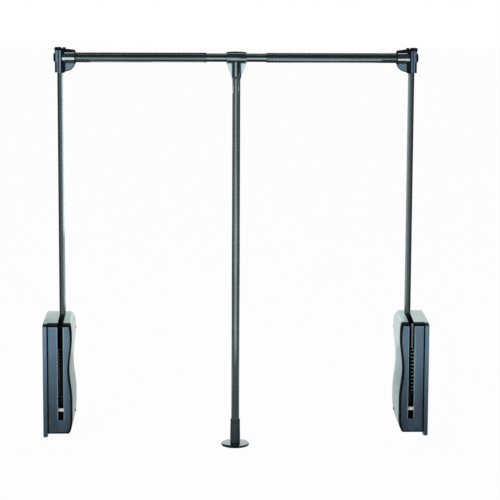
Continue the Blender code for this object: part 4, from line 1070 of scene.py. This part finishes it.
def column_front():
    """The column's front edge from the wall side to the rail side, as (away from the arm, depth)."""
    corner, rounding = -COLUMN_HALF + COLUMN_ROUND, (COLUMN_ROUND, COLUMN_ROUND)
    points = arc((COLUMN_OUT - COLUMN_ROUND, corner), rounding, 0, -90, CORNER_STEPS)
    for step in range(-FLUTE_STEPS, FLUTE_STEPS + 1):
        share = step / FLUTE_STEPS
        dip = FLUTE_DEPTH * (1 + math.cos(math.pi * share)) / 2
        points.append((FLUTE_MIDDLE - FLUTE_HALF * share, -COLUMN_HALF + dip))
    groove_end = -GROOVE_START - GROOVE_WIDTH
    groove_floor = -COLUMN_HALF + GROOVE_DEPTH
    points += [(-GROOVE_START, -COLUMN_HALF), (-GROOVE_START, groove_floor), (groove_end, groove_floor),
               (groove_end, -COLUMN_HALF)]
    return points + arc((-COLUMN_IN + COLUMN_ROUND, corner), rounding, -90, -180, CORNER_STEPS)


def bracket_finish(face):
    """Slot 0 painted column front, 1 cast cup, 3 painted shade in the flute, 2 black for grooves, tops and
    the wall side.
    """
    spot = face.calc_center_median()
    away = abs(spot.x) - arm_x
    if -CUP_REACH + MOUTH_RING < away < -COLUMN_IN and spot.z < rail_height + CUP_RADIUS - CUP_TOP_MARGIN:
        return 1
    front_end = COLUMN_OUT - (REBATE if spot.z < rebate_top else CORNER_MARGIN)
    painted = -GROOVE_START <= away < front_end and abs(face.normal.y) > FACING
    if not painted or spot.z > column_top - TOP_MARGIN:
        return 2
    return 3 if abs(away - FLUTE_MIDDLE) < FLUTE_HALF / 2 else 0


print(f"column: {1000 * (column_top - column_foot):.0f} mm high, rail at {1000 * rail_height:.0f} mm")

# %% [markdown]
# The cup has a small step round its mouth, and the column a rebate down its wall side. Now the solids are
# put together and drilled. Booleans leave many small triangles behind, so faces that lie in one plane are
# merged again before the edges are rounded: a bevel needs clean edges to follow.

# %% Cast the rail brackets
RAIL_RADIUS, RAIL_SEAT = 0.011, 0.006
ARM_SOCKET = 0.0073
FIN_HALF, FIN_ROOT, FIN_TIP = 0.005, 0.0205, 0.0165
SCREW_REACH, SCREW_DRILL = 0.009, 0.03
CAST_EDGE = 0.0006
OVERRUN = 0.002
SMALL_STEP = 0.001
FLAT_ANGLE = 0.001


def finish_casting(shapes, drills):
    """Join the solids, drill them, merge the flat faces and round the edges."""
    solid = combine([combine(shapes, "UNION"), *drills], "DIFFERENCE")
    bmesh.ops.dissolve_limit(solid, angle_limit=FLAT_ANGLE, verts=solid.verts[:], edges=solid.edges[:])
    soften(solid, CAST_EDGE)
    return solid


for side_name, side in SIDES.items():
    half = column_front()
    outline = [(side * (arm_x + away), arm_y + depth) for away, depth in half]
    outline += [(side * (arm_x + away), arm_y - depth) for away, depth in reversed(half)]
    mouth = side * (arm_x - CUP_REACH)
    column = extrude_flat(outline, "Z", column_foot, column_top)
    ring_end, cup_end = mouth + side * MOUTH_RING, side * (arm_x - COLUMN_IN / 2)
    cup = turn([(0, mouth), (CUP_RADIUS - MOUTH_STEP, mouth), (CUP_RADIUS - MOUTH_STEP, ring_end),
                (CUP_RADIUS, ring_end), (CUP_RADIUS, cup_end), (0, cup_end)], "X", rail_axis)
    boss = bar(BOSS_RADIUS, side * (arm_x + COLUMN_OUT / 2), side * (arm_x + COLUMN_OUT + BOSS_LENGTH), "X",
               rail_axis)
    fin_root, fin_tip = side * (arm_x - GROOVE_START - SEAT_GAP), mouth + side * SMALL_STEP
    fin = extrude_flat([(fin_root, rail_height + RAIL_RADIUS), (fin_tip, rail_height + RAIL_RADIUS),
                        (fin_tip, rail_height + FIN_TIP), (fin_root, rail_height + FIN_ROOT)],
                       "Y", arm_y - FIN_HALF, arm_y + FIN_HALF)
    rail_end = side * (arm_x - RAIL_SEAT + SEAT_GAP)
    arm_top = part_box(side_name + "_arm_tube")[1].z + SEAT_GAP
    drills = [bar(RAIL_RADIUS + SEAT_GAP, mouth - side * OVERRUN, rail_end, "X", rail_axis),
              bar(ARM_SOCKET, column_foot - OVERRUN, arm_top, "Z", (side * arm_x, arm_y, 0)),
              bar(SCREW_HOLE, rail_height, rail_height + SCREW_DRILL, "Z",
                  (side * (arm_x - SCREW_REACH), arm_y, 0), HOLE_STEPS)]
    near, far = sorted((side * (arm_x + COLUMN_OUT - REBATE), side * (arm_x + COLUMN_OUT + SMALL_STEP)))
    for depth in (arm_y - COLUMN_HALF, arm_y + COLUMN_HALF):
        corner = [(near, depth - REBATE_DEPTH), (far, depth - REBATE_DEPTH),
                  (far, depth + REBATE_DEPTH), (near, depth + REBATE_DEPTH)]
        drills.append(extrude_flat(corner, "Z", column_foot - SMALL_STEP, rebate_top))
    bracket = finish_casting([column, cup, boss, fin], drills)
    finish_piece(side_name + "_rail_bracket", "cast", bracket, side_name + "_arm", "slate_paint",
                 [slate, casting, moulding, slate_shade], bracket_finish)
    print(f"{side_name} bracket: cup {2000 * CUP_RADIUS:.0f} mm across")

# %% [markdown]
# Under the cup a thin web braces the column, bounded by a quarter ellipse. It is pale slate with a dark lip
# along its edge. An inset on both sides of an extruded plate makes the lip: the inner face is pushed in a
# little, and the ring that is left round it takes the darker finish.

# %% Brace the brackets with their webs
WEB_HALF = 0.004
WEB_DROP, WEB_OVERLAP = 0.031, 0.0025
WEB_LIP, WEB_SINK = 0.0014, 0.0006
WEB_START_DEG, WEB_STEPS = 8, 24
PANEL_FACING = 0.9


def sink_panels(bm, lip, depth):
    """Inset the two broad faces twice, for a flat lip and a short step, and push the panels in."""
    broad = sorted(bm.faces, key=lambda face: -face.calc_area())[:2]
    bmesh.ops.inset_individual(bm, faces=broad, thickness=lip)
    bmesh.ops.inset_individual(bm, faces=broad, thickness=depth / 4, depth=-depth)


def pale_panel(face):
    """Slot 1 for the two sunk panels, 0 for the rest."""
    sunk = abs(abs(face.calc_center_median().y - arm_y) - WEB_HALF) > WEB_SINK / 2
    return 1 if sunk and abs(face.normal.y) > PANEL_FACING else 0


for side_name, side in SIDES.items():
    inner = side * (arm_x - COLUMN_IN)
    tip = side * (arm_x - CUP_REACH + SMALL_STEP)
    web_top = rail_height - CUP_RADIUS + WEB_OVERLAP
    curve = arc((inner, rail_height - RAIL_RADIUS), (tip - inner, RAIL_RADIUS - WEB_DROP), WEB_START_DEG, 90,
                WEB_STEPS)
    outline = [(curve[0][0], web_top), *curve, (inner, web_top)]
    web = extrude_flat(outline, "Y", arm_y - WEB_HALF, arm_y + WEB_HALF)
    sink_panels(web, WEB_LIP, WEB_SINK)
    finish_piece(side_name + "_bracket", "web", web, side_name + "_arm", "slate_paint", [moulding, web_blue],
                 pale_panel, added=True)
print("webs: one under each cup")

# %% [markdown]
# A dark plastic cap closes each column. It overhangs by less than a millimetre, and its top is slightly
# pillowed, as moulded caps are. A wide bevel with a few segments gives that soft top.

# %% Cap the brackets
CAP_EDGE = 0.0014
for side_name in SIDES:
    low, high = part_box(side_name + "_bracket_cap")
    cap = extrude_flat(rounded_box((low.x, low.y), (high.x, high.y), COLUMN_ROUND), "Z", low.z, high.z)
    soften(cap, CAP_EDGE, segments=4)
    finish_piece(side_name + "_bracket_cap", "moulded", cap, side_name + "_arm", "dark_plastic", [moulding])
print("caps:", len(SIDES))

# %% [markdown]
# The tee hangs the pole from the middle of the rail: a crowned barrel that turns on the inner tube, and a
# sleeve that holds the pole. Two thin webs brace the sleeve, painted pale as a painted reflection of the
# white surroundings. The barrel's outline is a shallow arch with a small step at each end, which catches a
# line of light as the real one does. The sleeve's tapered end is painted darker, as painted shade.

# %% Cast the tee
TEE_HALF = 0.0225
TEE_END_RADIUS, TEE_CROWN = 0.01275, 0.00125
TEE_STEP, TEE_STEP_DEPTH = 0.0018, 0.0006
CROWN_STEPS = 8
INNER_RADIUS = 0.0095
POLE_RADIUS = 0.009
SLEEVE_RADIUS, SLEEVE_DROP = 0.011, 0.047
TAPER, TAPER_RISE = 0.0013, 0.006
TAPER_FACING = -0.1
TEE_WEB_HALF, TEE_WEB_DROP, TEE_WEB_TOE = 0.0025, 0.038, 0.0015
TEE_WEB_INSET = 0.0005

sleeve_foot = rail_height - SLEEVE_DROP
pole_centre = (0, arm_y, 0)
pole_bore = POLE_RADIUS + SEAT_GAP
pole_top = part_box("handle_pole")[1].z + SEAT_GAP
screw_spot = (0, 0, round_size("tee_screw", "Y")[0].z)


def tee_finish(face):
    """Slot 1 for the sleeve's tapered end, painted darker as painted shade, 0 for the rest."""
    low_down = face.calc_center_median().z < sleeve_foot + TAPER_RISE
    return 1 if low_down and face.normal.z < TAPER_FACING else 0


barrel_profile = [(0, -TEE_HALF), (TEE_END_RADIUS - TEE_STEP_DEPTH, -TEE_HALF)]
for step in range(-CROWN_STEPS, CROWN_STEPS + 1):
    along = step / CROWN_STEPS * (TEE_HALF - TEE_STEP)
    barrel_profile.append((TEE_END_RADIUS + TEE_CROWN * (1 - (along / TEE_HALF) ** 2), along))
barrel_profile += [(TEE_END_RADIUS - TEE_STEP_DEPTH, TEE_HALF), (0, TEE_HALF)]
barrel = turn(barrel_profile, "X", rail_axis)
sleeve = turn([(0, sleeve_foot), (SLEEVE_RADIUS - TAPER, sleeve_foot),
               (SLEEVE_RADIUS, sleeve_foot + TAPER_RISE), (SLEEVE_RADIUS, rail_height), (0, rail_height)],
              "Z", pole_centre)
drills = [bar(INNER_RADIUS + SEAT_GAP, -TEE_HALF - OVERRUN, TEE_HALF + OVERRUN, "X", rail_axis),
          bar(pole_bore, sleeve_foot - OVERRUN, pole_top, "Z", pole_centre),
          bar(SCREW_HOLE, arm_y, arm_y + SLEEVE_RADIUS + OVERRUN, "Y", screw_spot, HOLE_STEPS)]
tee = finish_casting([barrel, sleeve], drills)
finish_piece("tee", "cast", tee, "handle", "slate_paint", [tee_casting, slate_shade], tee_finish)
web_top, web_foot = rail_height - INNER_RADIUS - OVERRUN, rail_height - TEE_WEB_DROP
for side_name, side in SIDES.items():
    outer, inner = side * (TEE_HALF - TEE_WEB_INSET), side * (SLEEVE_RADIUS - SMALL_STEP)
    outline = [(outer, web_top), (outer, rail_height - TEE_END_RADIUS),
               (side * (SLEEVE_RADIUS + TEE_WEB_TOE), web_foot), (inner, web_foot), (inner, web_top)]
    web = extrude_flat(outline, "Y", arm_y - TEE_WEB_HALF, arm_y + TEE_WEB_HALF)
    soften(web, SOFT_EDGE)
    # The pale shell finish on the webs is a painted reflection.
    finish_piece("tee_" + side_name, "web", web, "handle", "slate_paint", [shell_grey], added=True)
print(f"tee: barrel {2000 * TEE_HALF:.0f} mm long")

# %% [markdown]
# All screws are the same: a domed head with a hexagon socket. The dome is spun with a round hole left in
# its top. Bridging that hole to a six-sided ring and pushing the ring down makes the socket, so no cutter
# is needed.

# %% Make the socket screws
SCREW_RADIUS = 0.002
SCREW_PROUD = 0.0012
SCREW_SIDES, DOME_STEPS = 24, 6
HEX_RADIUS, HEX_RIM, HEX_DEPTH = 0.0014, 0.0016, 0.0012
# Each screw: its axis, which way along it the head looks, and its body, slot and finish.
SCREWS = {"tee_screw": ("Y", 1, "handle", "dark_plastic", moulding),
          "disc_screw": ("Z", -1, "handle", "bright_steel", bright)}
for side_name, side in SIDES.items():
    SCREWS[side_name + "_bracket_screw"] = ("Z", 1, side_name + "_arm", "dark_plastic", moulding)
    for label, finish in (("_cover_screw_lower", moulding), ("_cover_screw_upper", shell_grey)):
        SCREWS[side_name + label] = ("X", -side, side_name + "_housing", "dark_plastic", finish)


def socket_screw(radius, length):
    """A screw along Z whose head's top is at zero."""
    foot = -SCREW_HEAD_HEIGHT
    dome = arc((HEX_RIM, foot / 2), (radius - HEX_RIM, -foot / 2), 0, 90, DOME_STEPS)
    screw = turn([(0, -length), (SCREW_RADIUS, -length), (SCREW_RADIUS, foot), (radius, foot), *dome],
                 sides=SCREW_SIDES)
    rim = [edge for edge in screw.edges if edge.is_boundary]
    bmesh.ops.create_circle(screw, segments=6, radius=HEX_RADIUS)
    hexagon = [edge for edge in screw.edges if edge.is_wire]
    bmesh.ops.bridge_loops(screw, edges=rim + hexagon)
    sunk = moved_verts(bmesh.ops.extrude_edge_only(screw, edges=hexagon))
    bmesh.ops.translate(screw, verts=sunk, vec=(0, 0, -HEX_DEPTH))
    bmesh.ops.edgeloop_fill(screw, edges=[edge for edge in screw.edges if edge.is_boundary])
    bmesh.ops.recalc_face_normals(screw, faces=screw.faces)
    return screw


def cover_face(place):
    """How far the swollen cover stands from the middle of the object at a screw's place."""
    share = (place.y - seam_y) / (rear_y - seam_y)
    curve = body_curve(share, 0.0, body_height + cover_swell(share))
    return plate_x - min(curve, key=lambda point: abs(body_low + point[1] - place.z))[0]


for node, (axis, toward, body, slot, finish) in SCREWS.items():
    centre, radius, low, high = round_size(node, axis)
    screw = socket_screw(radius, high - low)
    if toward < 0:
        bmesh.ops.rotate(screw, verts=screw.verts, cent=(0, 0, 0), matrix=Matrix.Rotation(math.pi, 3, "X"))
    bmesh.ops.rotate(screw, verts=screw.verts, cent=(0, 0, 0), matrix=AXIS_TURNS[axis])
    centre["XYZ".index(axis)] = high if toward > 0 else low
    if "cover" in node:
        centre.x = -toward * (cover_face(centre) - SCREW_PROUD)
    bmesh.ops.translate(screw, verts=screw.verts, vec=centre)
    finish_piece(node, "socketed", screw, body, slot, [finish])
print("screws:", len(SCREWS))

# %% [markdown]
# The pole ends in a soft grip, with a ring above it and a polished disc below that keeps the hand from
# slipping off. All three are turned shapes. The grip widens a little towards its foot, and a notch there
# sets off a small ring. The disc's top is polished metal and its edge a black moulding, so its faces get
# two finishes.

# %% Turn the collar, grip and disc
GRIP_SIDES = 128
GRIP_TAPER = 0.0006
GRIP_FLOOR = 0.016
NOTCH_RISE, NOTCH_DEPTH = 0.0075, 0.0013
NOTCH_FOOT, NOTCH_LOW, NOTCH_HIGH = 0.0034, 0.0022, 0.001
RING_INSET, RING_CHAMFER, RING_CHAMFER_RISE = 0.0002, 0.0008, 0.0012
COLLAR_EDGE = 0.0016
DISC_RIM, DISC_EDGE = 0.005, 0.001
DISC_HUB = 0.0125
DISC_START_DEG, DISC_STEPS = 20, 12
DISC_SINK_RADIUS, DISC_SINK = 0.004, 0.0028


def disc_finish(face):
    """Slot 0 for the disc's top, 1 for its edge and foot."""
    return 0 if face.normal.z > FACING else 1


def finish_turned(node, how, profile, edge, slot, finishes, segments=2, choose=None):
    """Spin a piece round the pole, round its edges and finish it."""
    piece = turn(profile, "Z", pole_centre, GRIP_SIDES)
    soften(piece, edge, segments)
    finish_piece(node, how, piece, "handle", slot, finishes, choose)


low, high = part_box("handle_grip")
foot_radius = (high.x - low.x) / 2
ring_radius, notch_radius = foot_radius - RING_INSET, foot_radius - NOTCH_DEPTH
notch_top = low.z + NOTCH_RISE
grip_profile = [(SCREW_HOLE, low.z), (foot_radius - RING_CHAMFER, low.z),
                (ring_radius, low.z + RING_CHAMFER_RISE), (ring_radius, notch_top - NOTCH_FOOT),
                (notch_radius, notch_top - NOTCH_LOW), (notch_radius, notch_top - NOTCH_HIGH),
                (foot_radius, notch_top), (foot_radius - GRIP_TAPER, high.z), (pole_bore, high.z),
                (pole_bore, low.z + GRIP_FLOOR), (SCREW_HOLE, low.z + GRIP_FLOOR)]
finish_turned("handle_grip", "turned", grip_profile, SOFT_EDGE, "dark_plastic", [grip_black])

low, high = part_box("handle_collar")
radius = (high.x - low.x) / 2
collar_profile = [(pole_bore, low.z), (radius, low.z), (radius, high.z), (pole_bore, high.z)]
finish_turned("handle_collar", "turned", collar_profile, COLLAR_EDGE, "dark_plastic", [grip_black],
              segments=4)

low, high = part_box("handle_disc")
radius = (high.x - low.x) / 2
disc_top = arc((DISC_HUB, DISC_RIM), (radius - DISC_HUB - DISC_EDGE, high.z - DISC_RIM), DISC_START_DEG, 90,
               DISC_STEPS)
disc_profile = [(DISC_SINK_RADIUS, low.z), (radius - DISC_EDGE, low.z), (radius, low.z + DISC_EDGE),
                (radius, DISC_RIM), *disc_top, (SCREW_HOLE, high.z), (SCREW_HOLE, DISC_SINK),
                (DISC_SINK_RADIUS, DISC_SINK)]
finish_turned("handle_disc", "polished", disc_profile, FINE_EDGE, "pale_shell", [polished, moulding],
              choose=disc_finish)
print(f"grip: {2000 * foot_radius:.1f} mm at its foot, on a disc of {2000 * radius:.0f} mm")

# %% [markdown]
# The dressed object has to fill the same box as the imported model.

# %% Write both boxes and finish
def corners(box):
    return [[round(value, 6) for value in corner] for corner in box]


{"cad": corners((cad_low, cad_high)), "visual": corners(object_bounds())}
